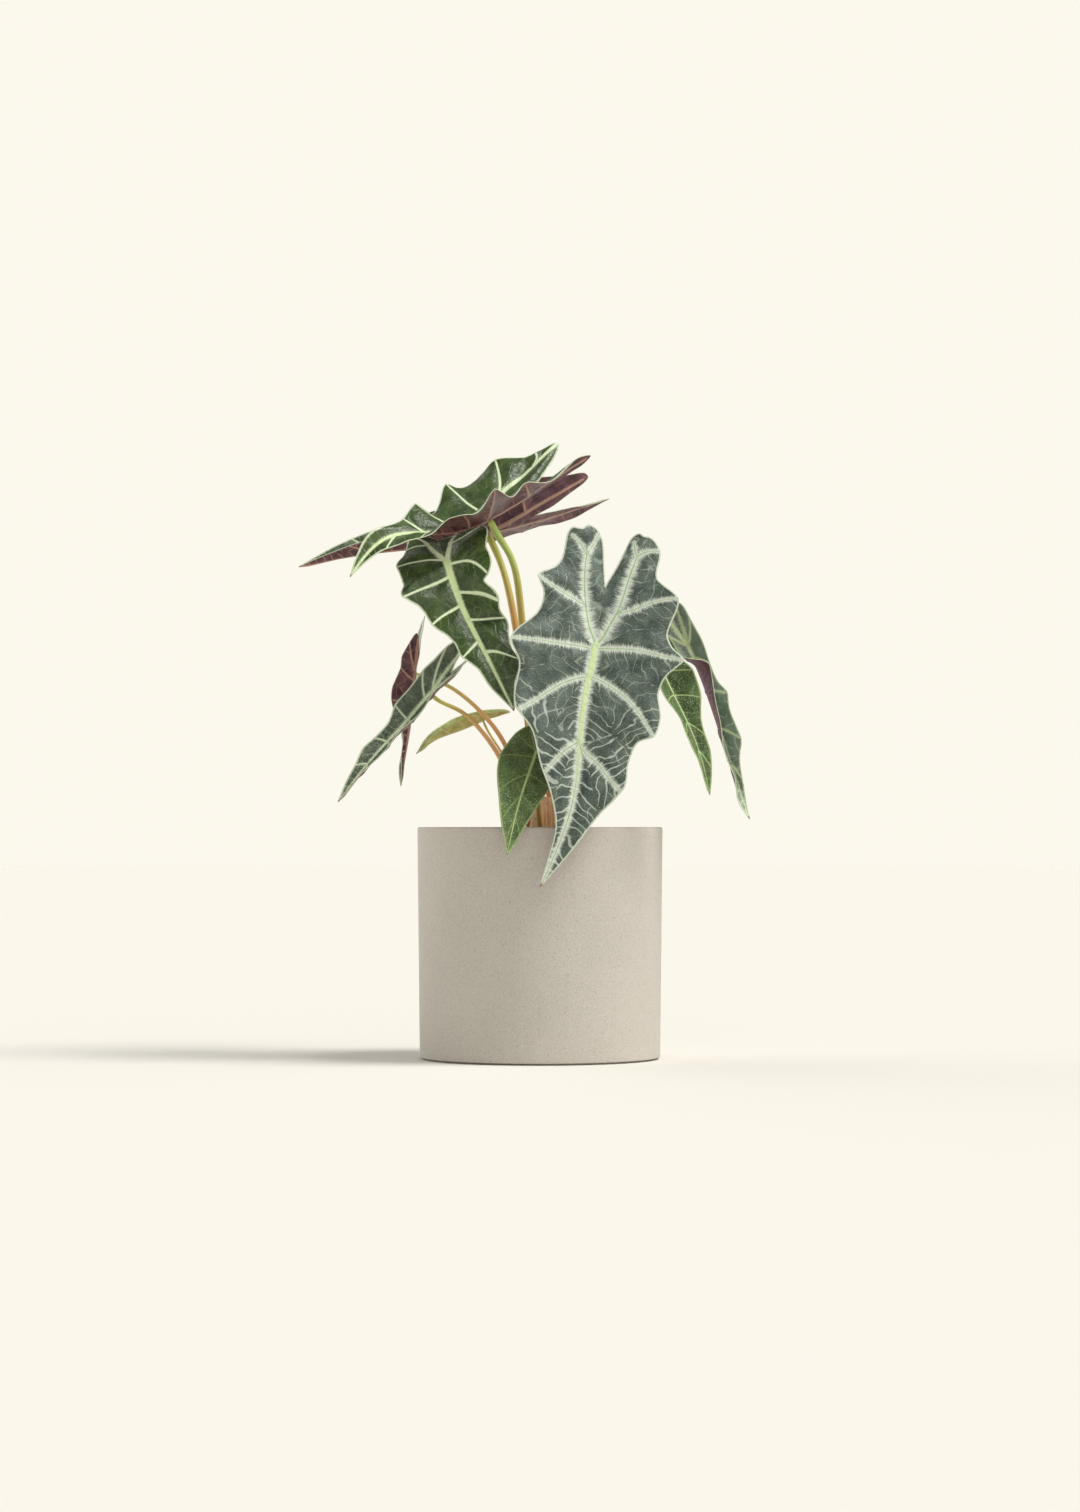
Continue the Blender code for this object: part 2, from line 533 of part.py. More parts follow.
def add_soil():
    """The soil, slightly heaped in the middle, with a plain hole for the crown."""
    radius = soil_radius()
    heap = [(r * radius, SOIL_EDGE_HEIGHT + (SOIL_CENTRE_HEIGHT - SOIL_EDGE_HEIGHT) * (1 - r * r))
            for r in (1, .8, .5)]
    profile = [(0, POT_FLOOR + GAP), (radius, POT_FLOOR + GAP), *heap, (0, SOIL_CENTRE_HEIGHT)]
    earth = material("soil_earth", (.045, .03, .02, 1), .95)
    soil = add_object("soil", turned_mesh(profile, SOIL_SEGMENTS), earth)
    cut(soil, add_object("crown_hole", crown_mesh(GAP), None))


def crown_mesh(grow=0.0):
    """The crown's lofted body, four-lobed across, with its lobes under the four large stalks."""
    turn = np.arange(CROWN_SEGMENTS) * 2 * np.pi / CROWN_SEGMENTS
    lobes = CROWN_RADIUS + CROWN_LOBE * np.cos(CROWN_LOBES * (turn - np.radians(CROWN_LOBE_ANGLE)))
    rings = []
    for i, (height, scale) in enumerate(CROWN_RINGS):
        radius = lobes * scale + grow
        z = height - (grow if i == 0 else 0)
        x = CROWN_CENTRE[0] + radius * np.cos(turn)
        y = CROWN_CENTRE[1] + radius * np.sin(turn)
        rings.append(np.stack((x, y, np.full_like(x, z)), -1))
    return loft(np.array(rings))


def stalk_path(leaf):
    """The stalk's axis from its foot in the crown to just under the blade, which it meets square."""
    midrib = Midrib(leaf)
    joint = midrib.frame(np.zeros(1))[0][0]
    down = -midrib.joint_normal()
    below = BLADE_THICKNESS / 2 + MIDRIB_DEPTH + GAP
    points = [*leaf.stalk, joint + down * STALK_APPROACH, joint + down * below]
    count = STALK_RINGS[leaf.grown]
    path = through(points, np.linspace(0, 1, count))
    foot, top = leaf.radii
    return path, np.linspace(foot, top, count)


def add_crown(leaves):
    """The crown, with a socket for each stalk."""
    sheath = material("crown_sheath", (.6, .3, .12, 1), .55)
    crown = add_object("crown", crown_mesh(), sheath)
    for leaf in leaves:
        path, radii = stalk_path(leaf)
        socket = tube_mesh(path[:SOCKET_RINGS], radii[:SOCKET_RINGS], STALK_SIDES, GAP, GAP)
        cut(crown, add_object("socket_" + leaf.name, socket, None))


def main():
    """Build every object of the plant."""
    for old in list(bpy.data.objects):
        bpy.data.objects.remove(old, do_unlink=True)
    add_pot()
    add_soil()
    add_crown(LEAVES)
    for leaf in LEAVES:
        skin = material("blade_" + leaf.name + "_green", leaf.green, .4)
        add_object("blade_" + leaf.name, blade_mesh(leaf), skin, LEAF_SMOOTH)
        stem = material("stalk_" + leaf.name + "_green", (.32, .3, .09, 1), .45)
        path, radii = stalk_path(leaf)
        add_object("stalk_" + leaf.name, tube_mesh(path, radii, STALK_SIDES), stem, LEAF_SMOOTH)


main()
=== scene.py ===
"""Looks of the potted polly alocasia: a plain clay pot, soil, crown, ten stalks and ten blades.

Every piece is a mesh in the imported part's frame, worked out in millimetres on grids and put in its node's
place. A blade is a half surface on either side of a midrib, with veins as curves on the flattened blade.
"""

import logging
from collections.abc import Callable
from dataclasses import dataclass, field
from enum import Enum
from functools import reduce
from itertools import combinations

import bpy
import numpy as np
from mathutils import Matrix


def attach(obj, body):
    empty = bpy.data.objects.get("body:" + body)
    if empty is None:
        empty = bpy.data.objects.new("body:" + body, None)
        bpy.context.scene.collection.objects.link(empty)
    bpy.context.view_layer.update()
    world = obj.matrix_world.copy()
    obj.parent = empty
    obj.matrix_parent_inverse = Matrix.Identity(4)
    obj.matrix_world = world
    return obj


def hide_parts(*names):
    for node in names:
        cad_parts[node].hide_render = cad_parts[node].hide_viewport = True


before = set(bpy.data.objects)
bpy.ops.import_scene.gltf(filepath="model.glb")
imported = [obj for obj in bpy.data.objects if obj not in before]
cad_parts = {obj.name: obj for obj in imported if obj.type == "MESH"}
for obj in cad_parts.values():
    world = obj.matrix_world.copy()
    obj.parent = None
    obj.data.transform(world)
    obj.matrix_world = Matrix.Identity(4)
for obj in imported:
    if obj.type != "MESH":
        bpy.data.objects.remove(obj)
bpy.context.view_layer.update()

MM = 0.001
BODY = "root"
log = logging.getLogger("alocasia")

# Thicknesses and depths of a blade, in millimetres
BLADE_THICKNESS = 0.5
MIDRIB_DEPTH = 0.9
VEIN_DEPTH = 0.5

# How far a blade's rows are arched towards its rear, in parts of their length
ARCH = 0.08

# Outlines of half blades as (distance from the midrib, distance along it), in parts of the midrib's length.
# Each list runs from the notch round the rear lobe and along the scalloped side to the tip.
FRONT_LEFT = (
    (0, -.249), (.018, -.34), (.039, -.444), (.075, -.49), (.108, -.493), (.126, -.471), (.164, -.47),
    (.185, -.425), (.191, -.331), (.213, -.286), (.278, -.225), (.245, -.172), (.254, -.074), (.308, -.003),
    (.34, .063), (.286, .143), (.278, .239), (.264, .323), (.192, .39), (.152, .496), (.112, .586),
    (.055, .734), (.03, .809), (.016, .893), (0, 1))
FRONT_RIGHT = (
    (0, -.249), (.024, -.312), (.058, -.416), (.078, -.474), (.104, -.49), (.121, -.478), (.148, -.477),
    (.19, -.431), (.189, -.345), (.198, -.304), (.293, -.232), (.289, -.178), (.269, -.087), (.312, -.023),
    (.355, .011), (.303, .071), (.28, .159), (.307, .246), (.291, .36), (.224, .397), (.195, .486),
    (.189, .572), (.117, .653), (.066, .782), (0, 1))
LEFT_LEFT = (
    (0, -.265), (.017, -.313), (.05, -.371), (.09, -.402), (.128, -.396), (.158, -.349), (.178, -.291),
    (.206, -.209), (.234, -.147), (.259, -.096), (.288, -.033), (.281, .029), (.279, .088), (.297, .132),
    (.311, .181), (.238, .232), (.21, .271), (.197, .354), (.155, .428), (.127, .505), (.13, .586),
    (.083, .695), (.067, .795), (.037, .893), (0, 1))
LEFT_RIGHT = (
    (0, -.265), (.061, -.267), (.134, -.282), (.191, -.292), (.238, -.272), (.267, -.214), (.286, -.148),
    (.262, -.074), (.242, .006), (.246, .075), (.241, .181), (.201, .22), (.17, .226), (.203, .302),
    (.225, .372), (.21, .413), (.226, .469), (.207, .552), (.179, .675), (.166, .766), (.125, .827),
    (.077, .879), (.048, .927), (.021, .973), (0, 1))
TOP_FAR = (
    (0, -.22), (.047, -.31), (.13, -.46), (.212, -.595), (.262, -.652), (.278, -.627), (.292, -.569),
    (.317, -.529), (.323, -.478), (.317, -.423), (.383, -.294), (.37, -.216), (.331, -.08), (.337, .018),
    (.37, .059), (.306, .136), (.215, .236), (.197, .303), (.234, .38), (.122, .516), (.06, .644), (.05, .74),
    (.04, .827), (.024, .919), (0, 1))
TOP_NEAR = (
    (0, -.24), (.03, -.36), (.06, -.48), (.095, -.6), (.14, -.675), (.165, -.6), (.168, -.52), (.152, -.44),
    (.148, -.37), (.18, -.29), (.215, -.21), (.21, -.15), (.23, -.08), (.31, -.01), (.35, .04), (.295, .11),
    (.28, .2), (.285, .285), (.24, .375), (.19, .45), (.155, .535), (.12, .65), (.067, .73), (.03, .86),
    (0, 1))
BACK_FAR = (
    (0, -.26), (.045, -.37), (.09, -.5), (.13, -.62), (.165, -.69), (.195, -.65), (.2, -.57), (.2, -.48),
    (.2, -.39), (.205, -.31), (.286, -.228), (.265, -.175), (.26, -.08), (.31, -.013), (.348, .037),
    (.295, .107), (.28, .2), (.285, .285), (.24, .375), (.188, .447), (.17, .5), (.139, .545), (.099, .698),
    (.047, .868), (0, 1))
BACK_NEAR = (
    (0, -.26), (.012, -.365), (.036, -.45), (.06, -.545), (.086, -.59), (.11, -.58), (.13, -.53), (.15, -.46),
    (.175, -.38), (.2, -.3), (.225, -.228), (.22, -.175), (.215, -.08), (.235, -.013), (.245, .037),
    (.22, .107), (.2, .2), (.195, .285), (.17, .375), (.145, .447), (.115, .52), (.095, .62), (.075, .74),
    (.04, .87), (0, 1))
YOUNG_HALF = (
    (0, -.22), (.03, -.32), (.07, -.42), (.12, -.38), (.17, -.25), (.21, -.1), (.25, .08), (.22, .2),
    (.22, .34), (.18, .46), (.15, .58), (.12, .7), (.08, .82), (.04, .92), (0, 1))
LOW_UPPER = (
    (0, -.2), (.03, -.26), (.06, -.34), (.122, -.375), (.146, -.29), (.14, -.185), (.142, -.076), (.13, .077),
    (.132, .236), (.09, .363), (.086, .517), (.094, .628), (.064, .74), (.038, .868), (0, 1))
LOW_LOWER = (
    (0, -.2), (.02, -.27), (.05, -.345), (.1, -.33), (.14, -.24), (.165, -.12), (.19, .05), (.19, .18),
    (.185, .32), (.16, .45), (.14, .57), (.11, .7), (.075, .82), (.04, .92), (0, 1))
REAR_FAR = (
    (0, -.2), (.02, -.34), (.045, -.5), (.1, -.4), (.17, -.25), (.21, -.1), (.22, .08), (.22, .2), (.2, .34),
    (.15, .46), (.1, .57), (.06, .68), (.045, .79), (.03, .9), (0, 1))
REAR_NEAR = (
    (0, -.2), (.015, -.27), (.03, -.33), (.052, -.358), (.098, -.263), (.138, -.144), (.132, -.041),
    (.187, .119), (.191, .25), (.15, .356), (.09, .46), (.045, .57), (.04, .7), (.03, .86), (0, 1))
SPROUT_HALF = (
    (0, -.2), (.019, -.27), (.043, -.357), (.074, -.323), (.105, -.212), (.13, -.085), (.155, .08),
    (.187, .2), (.187, .34), (.153, .46), (.128, .58), (.102, .7), (.068, .82), (.034, .92), (0, 1))
DROP_LEFT = (
    (0, -.2), (.045, -.22), (.102, -.225), (.146, -.19), (.203, -.113), (.25, .029), (.277, .182),
    (.251, .361), (.191, .522), (.144, .644), (.105, .742), (.07, .826), (.038, .9), (.018, .953), (0, 1))
DROP_RIGHT = (
    (0, -.2), (.05, -.28), (.1, -.33), (.15, -.33), (.2, -.28), (.22, -.15), (.24, .02), (.235, .18),
    (.205, .34), (.175, .46), (.14, .58), (.105, .7), (.07, .82), (.035, .92), (0, 1))
LONG_RIGHT = (
    (0, -.2), (.02, -.21), (.055, -.25), (.09, -.25), (.1, -.15), (.105, .005), (.1, .12), (.1, .24),
    (.135, .318), (.12, .406), (.13, .578), (.085, .654), (.045, .783), (.014, .9), (0, 1))
SHORT_RIGHT = (
    (0, -.2), (.041, -.215), (.09, -.225), (.132, -.173), (.154, -.065), (.171, .05), (.203, .142),
    (.192, .255), (.17, .353), (.105, .485), (.083, .601), (.082, .705), (.057, .824), (.026, .928), (0, 1))

# Veins of half blades, as curves on the flattened half from the midrib outwards, in the same measure.
# The first of each list runs into the rear lobe, and the others leave it or the midrib.
FRONT_LEFT_VEINS = (
    ((0, 0), (.03, -.05), (.052, -.1), (.068, -.16), (.088, -.26), (.095, -.37)),
    ((.095, -.365), (.13, -.41), (.165, -.437)),
    ((.095, -.365), (.072, -.42), (.056, -.465)),
    ((.066, -.152), (.138, -.175), (.21, -.2), (.27, -.222)),
    ((0, .02), (.05, .02), (.114, .027), (.222, .04), (.335, .06)),
    ((0, .135), (.04, .15), (.085, .177), (.142, .227), (.198, .286), (.25, .33)),
    ((0, .4), (.053, .441), (.093, .489), (.13, .54)))
FRONT_RIGHT_VEINS = (
    ((0, 0), (.02, -.03), (.043, -.094), (.063, -.149), (.08, -.247), (.106, -.388)),
    ((.106, -.385), (.095, -.42), (.088, -.455)),
    ((.106, -.385), (.124, -.405), (.156, -.421), (.186, -.428)),
    ((.06, -.14), (.125, -.165), (.197, -.205), (.28, -.23)),
    ((0, .015), (.05, .008), (.096, .002), (.182, -.003), (.263, .006), (.345, .012)),
    ((0, .13), (.04, .14), (.08, .155), (.149, .192), (.229, .265), (.285, .35)),
    ((0, .42), (.03, .452), (.07, .482), (.122, .535), (.18, .58)))
LEFT_LEFT_VEINS = (
    ((0, 0), (.03, -.07), (.05, -.126), (.085, -.29), (.125, -.38)),
    ((.078, -.22), (.13, -.235), (.2, -.225)),
    ((.012, -.02), (.05, -.038), (.13, -.051), (.219, -.045), (.28, -.03)),
    ((0, .09), (.06, .11), (.132, .13), (.3, .182)),
    ((0, .28), (.05, .295), (.12, .315), (.192, .35)),
    ((0, .53), (.06, .56), (.126, .592)))
LEFT_RIGHT_VEINS = (
    ((0, 0), (.02, -.05), (.05, -.138), (.075, -.22), (.1, -.265)),
    ((.06, -.16), (.15, -.18), (.25, -.205)),
    ((0, .015), (.05, .03), (.107, .059), (.163, .13), (.198, .205)),
    ((0, .2), (.06, .225), (.119, .261), (.174, .32), (.215, .375)),
    ((0, .385), (.06, .41), (.116, .422), (.215, .45)),
    ((0, .61), (.05, .64), (.087, .674), (.162, .75)))
TOP_FAR_VEINS = (
    ((0, 0), (.06, -.05), (.137, -.17), (.205, -.412), (.262, -.63)),
    ((.03, 0), (.114, .02), (.25, .045), (.36, .057)),
    ((.125, -.14), (.2, -.2), (.37, -.285)),
    ((.215, -.44), (.26, -.5), (.312, -.525)),
    ((0, .2), (.06, .24), (.11, .28), (.225, .378)),
    ((0, .42), (.06, .47), (.115, .51)))

# Size of the lobe's vein to the others, how much a vein thins, and how far apart two veins' patterns start
LOBE_VEIN = 1.8
VEIN_TAPER = .45
VEIN_APART = 61.0

# Colour of a blade's dry tip and of its specks, and what a bump of 1 stands for, in metres
TIP_BROWN = (150, 116, 70)
SPECK_WHITE = (208, 216, 190)
SKIN_DEPTH = .0004


class Skin(Enum):
    """The record's material slots for blades."""

    GREY = "blade_grey"
    DARK = "blade_dark"
    PURPLE = "blade_purple"
    YOUNG = "blade_young"


@dataclass(frozen=True)
class Finish:
    """Colours and sizes of a blade's two faces; colours are screen values, sizes are millimetres.

    Attributes:
        slot: The record's slot.
        deep, pale: Darker and lighter colour of the lamina.
        net, net_share: Colour of the fine net of veins, and how strongly it shows.
        halo, halo_share, halo_width: Colour, strength and half the first width of the feathered vein bands.
        core, core_width: Colour and half the width of the line inside a band.
        spine, spine_width: Colour of the midrib, and half its width at the joint.
        fade: Place along the midrib where its own colour has run into the band's.
        rim: Colour of the margin line.
        gloss: Roughness of the upper face.
        specks: Share of small white specks.
        under_deep, under_pale, under_vein, under_gloss: The same measures of the under face.
    """

    slot: Skin
    deep: tuple
    pale: tuple
    net: tuple
    net_share: float
    halo: tuple
    halo_share: float
    halo_width: float
    core: tuple
    core_width: float
    spine: tuple
    spine_width: float
    fade: float
    rim: tuple
    gloss: float
    specks: float
    under_deep: tuple
    under_pale: tuple
    under_vein: tuple
    under_gloss: float


FRONT_GREY = Finish(Skin.GREY, (46, 62, 51), (98, 113, 101), (204, 214, 200), .8,
                    (232, 240, 224), .84, 2.9, (160, 196, 132), .28,
                    (212, 232, 172), 2.1, .75, (216, 226, 202), .46, .35,
                    (84, 52, 62), (112, 76, 82), (170, 132, 112), .42)
DARK_GREEN = Finish(Skin.DARK, (40, 60, 22), (78, 100, 48), (120, 142, 98), .35,
                    (206, 226, 182), .6, 1.2, (232, 248, 202), .95,
                    (226, 246, 182), 2.6, 1.3, (220, 234, 196), .24, 0,
                    (66, 34, 40), (112, 70, 76), (190, 146, 122), .3)
LOW_GREY = Finish(Skin.DARK, (52, 66, 46), (88, 102, 76), (150, 164, 138), .45,
                  (212, 224, 196), .75, 1.1, (206, 222, 178), .5,
                  (212, 228, 180), 1.5, 1.2, (206, 218, 186), .36, .5,
                  (84, 42, 58), (110, 66, 80), (180, 142, 124), .4)
OLIVE_GREY = Finish(Skin.DARK, (112, 128, 112), (150, 164, 148), (218, 228, 210), .5,
                    (228, 236, 214), .8, 1.5, (226, 240, 186), .7,
                    (230, 244, 186), 1.6, 1.2, (220, 232, 196), .4, 0,
                    (78, 28, 48), (98, 44, 64), (140, 92, 90), .6)
BACK_PURPLE = Finish(Skin.PURPLE, (50, 70, 38), (78, 100, 60), (110, 132, 96), .4,
                     (180, 202, 156), .6, 1.4, (200, 222, 172), .8,
                     (206, 228, 172), 2.0, 1.2, (206, 218, 186), .34, 0,
                     (72, 36, 48), (116, 76, 84), (198, 160, 134), .42)
YOUNG_GREEN = Finish(Skin.YOUNG, (60, 82, 38), (98, 120, 72), (146, 168, 114), .4,
                     (146, 168, 114), .3, 1.0, (196, 218, 146), .4,
                     (190, 214, 138), 1.1, 1.2, (172, 196, 132), .42, .9,
                     (104, 92, 66), (128, 116, 84), (160, 160, 104), .45)
DROP_GREEN = Finish(Skin.YOUNG, (58, 84, 30), (110, 136, 72), (132, 156, 100), .3,
                    (134, 158, 98), .3, .8, (150, 178, 104), .3,
                    (196, 222, 142), 1.1, 1.2, (162, 188, 124), .42, 1.0,
                    (104, 92, 66), (128, 116, 84), (160, 160, 104), .45)
SPROUT_OLIVE = Finish(Skin.YOUNG, (152, 174, 88), (190, 208, 120), (212, 220, 150), .4,
                      (200, 206, 146), .35, .8, (214, 220, 160), .3,
                      (226, 230, 170), .8, 1.2, (214, 216, 160), .45, 0,
                      (196, 200, 112), (232, 228, 150), (244, 236, 180), .45)


@dataclass(frozen=True)
class Plan:
    """How the outline's points, the margin's waves and the usual veins of a kind of blade lie.

    Attributes:
        roots: The place on the midrib that each point of the outline belongs to, from the notch to the tip.
        crests: The points of the outline where the margin's wave is highest.
        lobe: The point of the outline that the vein of the rear lobe runs to.
        branches: The point that each other vein runs to, and its start on the midrib, or None on the lobe's.
    """

    roots: tuple
    crests: tuple
    lobe: int
    branches: tuple


GROWN = Plan((-.2, -.19, -.18, -.17, -.155, -.14, -.125, -.105, -.085, -.07, -.05, -.03, -.015, 0, .02, .07,
              .13, .18, .28, .38, .46, .58, .7, .84, 1), (5, 10, 14, 18, 21), 4,
             ((10, None), (14, .02), (17, .14), (20, .4), (22, .62)))
YOUNG = Plan((-.2, -.16, -.14, -.1, -.05, 0, .08, .18, .3, .42, .54, .66, .78, .9, 1), (3, 6, 9, 12), 2,
             ((4, -.01), (6, .06), (8, .25), (10, .47), (12, .68)))


@dataclass(frozen=True)
class Leaf:
    """One leaf: its blade and its stalk.

    Attributes:
        name: The last part of both nodes' names.
        midrib: Five points, in millimetres: behind the joint, the joint, two between, the tip.
        wings: Rows of (place on the midrib, angle and curl of the first half, angle and curl of the second).
        halves: The outlines of the first and the second half.
        plan: How its outline's points, waves and veins lie.
        ripple: Height of the waves of the margin, in parts of the midrib's length.
        stalk: Points of the stalk from the crown up, without its last two, which follow from the blade.
        radii: The stalk's radius at its foot and at its top, in millimetres.
        finish: The blade's colours.
        skin: The stalk's colours at its foot, its middle and its top.
        veins: Vein curves of each half, or None for the usual ones.
    """

    name: str
    midrib: tuple
    wings: tuple
    halves: tuple
    plan: Plan
    ripple: float
    stalk: tuple
    radii: tuple
    finish: Finish
    skin: tuple
    veins: tuple = (None, None)


TALL_SKIN = ((214, 160, 88), (206, 186, 96), (184, 208, 108))
BROWN_SKIN = ((206, 144, 76), (212, 160, 84), (196, 200, 100))
SMALL_SKIN = ((236, 156, 104), (240, 186, 120), (214, 212, 104))
FRESH_SKIN = ((214, 172, 104), (194, 198, 92), (160, 196, 84))

LEAVES = (
    Leaf("front",
         midrib=((42, -55, 306), (35.6, -68, 266.7), (27.2, -80, 223.8), (20.8, -92, 168), (0, -96, 113.3)),
         wings=((-.4, 9, 0, 171, 0), (1, 9, 0, 171, 0)),
         halves=(FRONT_LEFT, FRONT_RIGHT), plan=GROWN, ripple=.012,
         stalk=((8.1, -4.2, 162), (9.5, -6, 175), (16.9, -14, 207.6), (28.5, -28, 244)),
         radii=(3.7, 2.7), finish=FRONT_GREY, skin=TALL_SKIN,
         veins=(FRONT_LEFT_VEINS, FRONT_RIGHT_VEINS)),
    Leaf("left",
         midrib=((-68.4, 14, 342), (-60.2, -25, 321.9), (-50.9, -36, 294.7), (-37.8, -48, 267.7),
                 (-16.6, -62, 225)),
         wings=((-.4, 2, 0, 199, 0), (0, 12, 0, 170, 0), (1, 14, 0, 160, 0)),
         halves=(LEFT_LEFT, LEFT_RIGHT), plan=GROWN, ripple=.014,
         stalk=((-1.3, -5.1, 162), (-1.6, -5.6, 175), (-3, -7, 204), (-10.4, -9, 232), (-22.8, -11, 263),
                (-41, -10, 298)),
         radii=(3.6, 2.6), finish=DARK_GREEN, skin=TALL_SKIN,
         veins=(LEFT_LEFT_VEINS, LEFT_RIGHT_VEINS)),
    Leaf("top",
         midrib=((2, 6, 370.6), (-32.6, -8, 351.1), (-60.3, -22, 341.5), (-99.5, -46, 335.6),
                 (-121.3, -60, 310.6)),
         wings=((-.6, -30, 0, 62, 0), (0, -38, 0, 73, 0), (.4, -38, 0, 85, 0), (.62, -30, 0, 135, 0),
                (1, 0, 0, 165, 0)),
         halves=(TOP_FAR, TOP_NEAR), plan=GROWN, ripple=.02,
         stalk=((7.2, 5.1, 162), (6.8, 5, 175), (1, 2, 208), (-6, -1, 243), (-10.4, -4, 273),
                (-13.5, -6, 302), (-19.6, -8, 328)),
         radii=(3.7, 2.6), finish=DARK_GREEN, skin=TALL_SKIN,
         veins=(TOP_FAR_VEINS, None)),
    Leaf("back",
         midrib=((4, 46, 361.3), (-34.5, 38, 345.4), (-66.2, 30, 337.5), (-110.4, 14, 330.4),
                 (-157.6, 0, 321)),
         wings=((-.6, -112, 0, 8, 0), (-.12, -108, 0, 16, 0), (0, -90, 0, 22, 0), (.4, -72, 0, 45, 0),
                (.62, -20, 0, 45, 0), (1, -10, 0, 40, 0)),
         halves=(BACK_FAR, BACK_NEAR), plan=GROWN, ripple=.012,
         stalk=((-2.1, 5.1, 162), (-2.6, 5.6, 175), (-6, 8, 208), (-10.5, 12, 243), (-14.5, 17, 273),
                (-19.6, 24, 302), (-26.5, 32, 327)),
         radii=(3.7, 2.6), finish=BACK_PURPLE, skin=BROWN_SKIN),
    Leaf("low_left",
         midrib=((-60.6, -16, 247.6), (-70.7, -20, 237.2), (-85.9, -30, 218.8), (-103.3, -44, 199.1),
                 (-128.9, -58, 167)),
         wings=((-.4, 10, 0, 120, .35), (0, 10, 0, 120, .4), (1, 10, 0, 116, .35)),
         halves=(LOW_UPPER, LOW_LOWER), plan=YOUNG, ripple=.012,
         stalk=((-3.8, -4.2, 147), (-9, -6, 156), (-26.1, -3, 196), (-38.5, 0, 214), (-50.2, 1, 225.5)),
         radii=(2.4, 1.5), finish=LOW_GREY, skin=SMALL_SKIN),
    Leaf("rear_left",
         midrib=((-79.2, 4, 263.6), (-81.3, 8, 251.3), (-83.3, 10, 231), (-86.4, 4, 206.6),
                 (-90.5, -8, 177.7)),
         wings=((-.4, -100, 0, 60, 0), (0, -70, 0, 12, 0), (.6, -60, 0, 20, 0), (1, 0, 0, 60, 0)),
         halves=(REAR_FAR, REAR_NEAR), plan=YOUNG, ripple=.012,
         stalk=((-4.8, 1.7, 147), (-9.5, 2.4, 157), (-21.6, 1.5, 202), (-36.6, 0, 224), (-47, -1, 234),
                (-59.8, 0, 243)),
         radii=(2.4, 1.4), finish=BACK_PURPLE, skin=SMALL_SKIN),
    Leaf("sprout",
         midrib=((-24.4, 22, 225.1), (-37.5, 20, 220.8), (-53.2, 16, 214.1), (-66.9, 10, 208.7),
                 (-80.8, 2, 199)),
         wings=((-.2, -80, 0, 110, 0), (0, -25, 0, 55, 0), (.7, -20, 0, 50, 0), (1, -60, 0, 110, 0)),
         halves=(SPROUT_HALF, SPROUT_HALF), plan=YOUNG, ripple=.008,
         stalk=((-3, 5.8, 152), (-8.5, 9, 161), (-19.6, 12, 189), (-26.5, 15, 202)),
         radii=(1.3, .9), finish=SPROUT_OLIVE, skin=SMALL_SKIN),
    Leaf("young_front",
         midrib=((0, -50, 208.6), (-2.6, -56, 198.9), (-6.4, -66, 187.3), (-12.7, -79, 168.1),
                 (-20.8, -90, 133.4)),
         wings=((-.4, 8, 0, 172, 0), (1, 8, 0, 172, 0)),
         halves=(DROP_LEFT, DROP_RIGHT), plan=YOUNG, ripple=.006,
         stalk=((.9, -7.7, 148), (-.5, -13, 157), (-1.3, -24, 174), (-1.5, -38, 190)),
         radii=(2.1, 1.5), finish=DROP_GREEN, skin=FRESH_SKIN),
    Leaf("rear_right",
         midrib=((88.6, -9, 284.5), (97.1, -6, 267.7), (107.5, -8, 242.2), (119.4, -16, 204.9),
                 (135.3, -30, 156.2)),
         wings=((-.4, 20, 0, 140, 0), (-.05, 22, 0, 135, 0), (.04, 44, .25, 135, 0), (.11, 72, .55, 135, 0),
                (.22, 76, .5, 135, 0), (.36, 78, .24, 135, 0), (.75, 72, .2, 135, 0), (1, 25, .1, 160, 0)),
         halves=(YOUNG_HALF, LONG_RIGHT), plan=YOUNG, ripple=.012,
         stalk=((10.9, 1.4, 149), (15.5, 2.4, 158), (32.7, 6, 194), (55, 10, 226), (76, 11, 250)),
         radii=(2.6, 1.6), finish=OLIVE_GREY, skin=FRESH_SKIN),
    Leaf("right",
         midrib=((70.8, -38, 270.1), (76.4, -44, 255), (85.8, -52, 233.6), (97.6, -60, 207.8),
                 (108, -66, 171.4)),
         wings=((-.4, 74, 0, 172, 0), (0, 76, 0, 172, 0), (1, 76, 0, 175, 0)),
         halves=(YOUNG_HALF, SHORT_RIGHT), plan=YOUNG, ripple=.01,
         stalk=((9.6, -4.6, 147), (14.5, -8, 156), (34, -14, 192), (52, -20, 221), (62, -24, 237)),
         radii=(2.4, 1.5), finish=YOUNG_GREEN, skin=FRESH_SKIN),
)


def unit(vectors: np.ndarray) -> np.ndarray:
    """Vectors scaled to length 1, along the last axis."""
    return vectors / np.maximum(np.linalg.norm(vectors, axis=-1, keepdims=True), 1e-12)


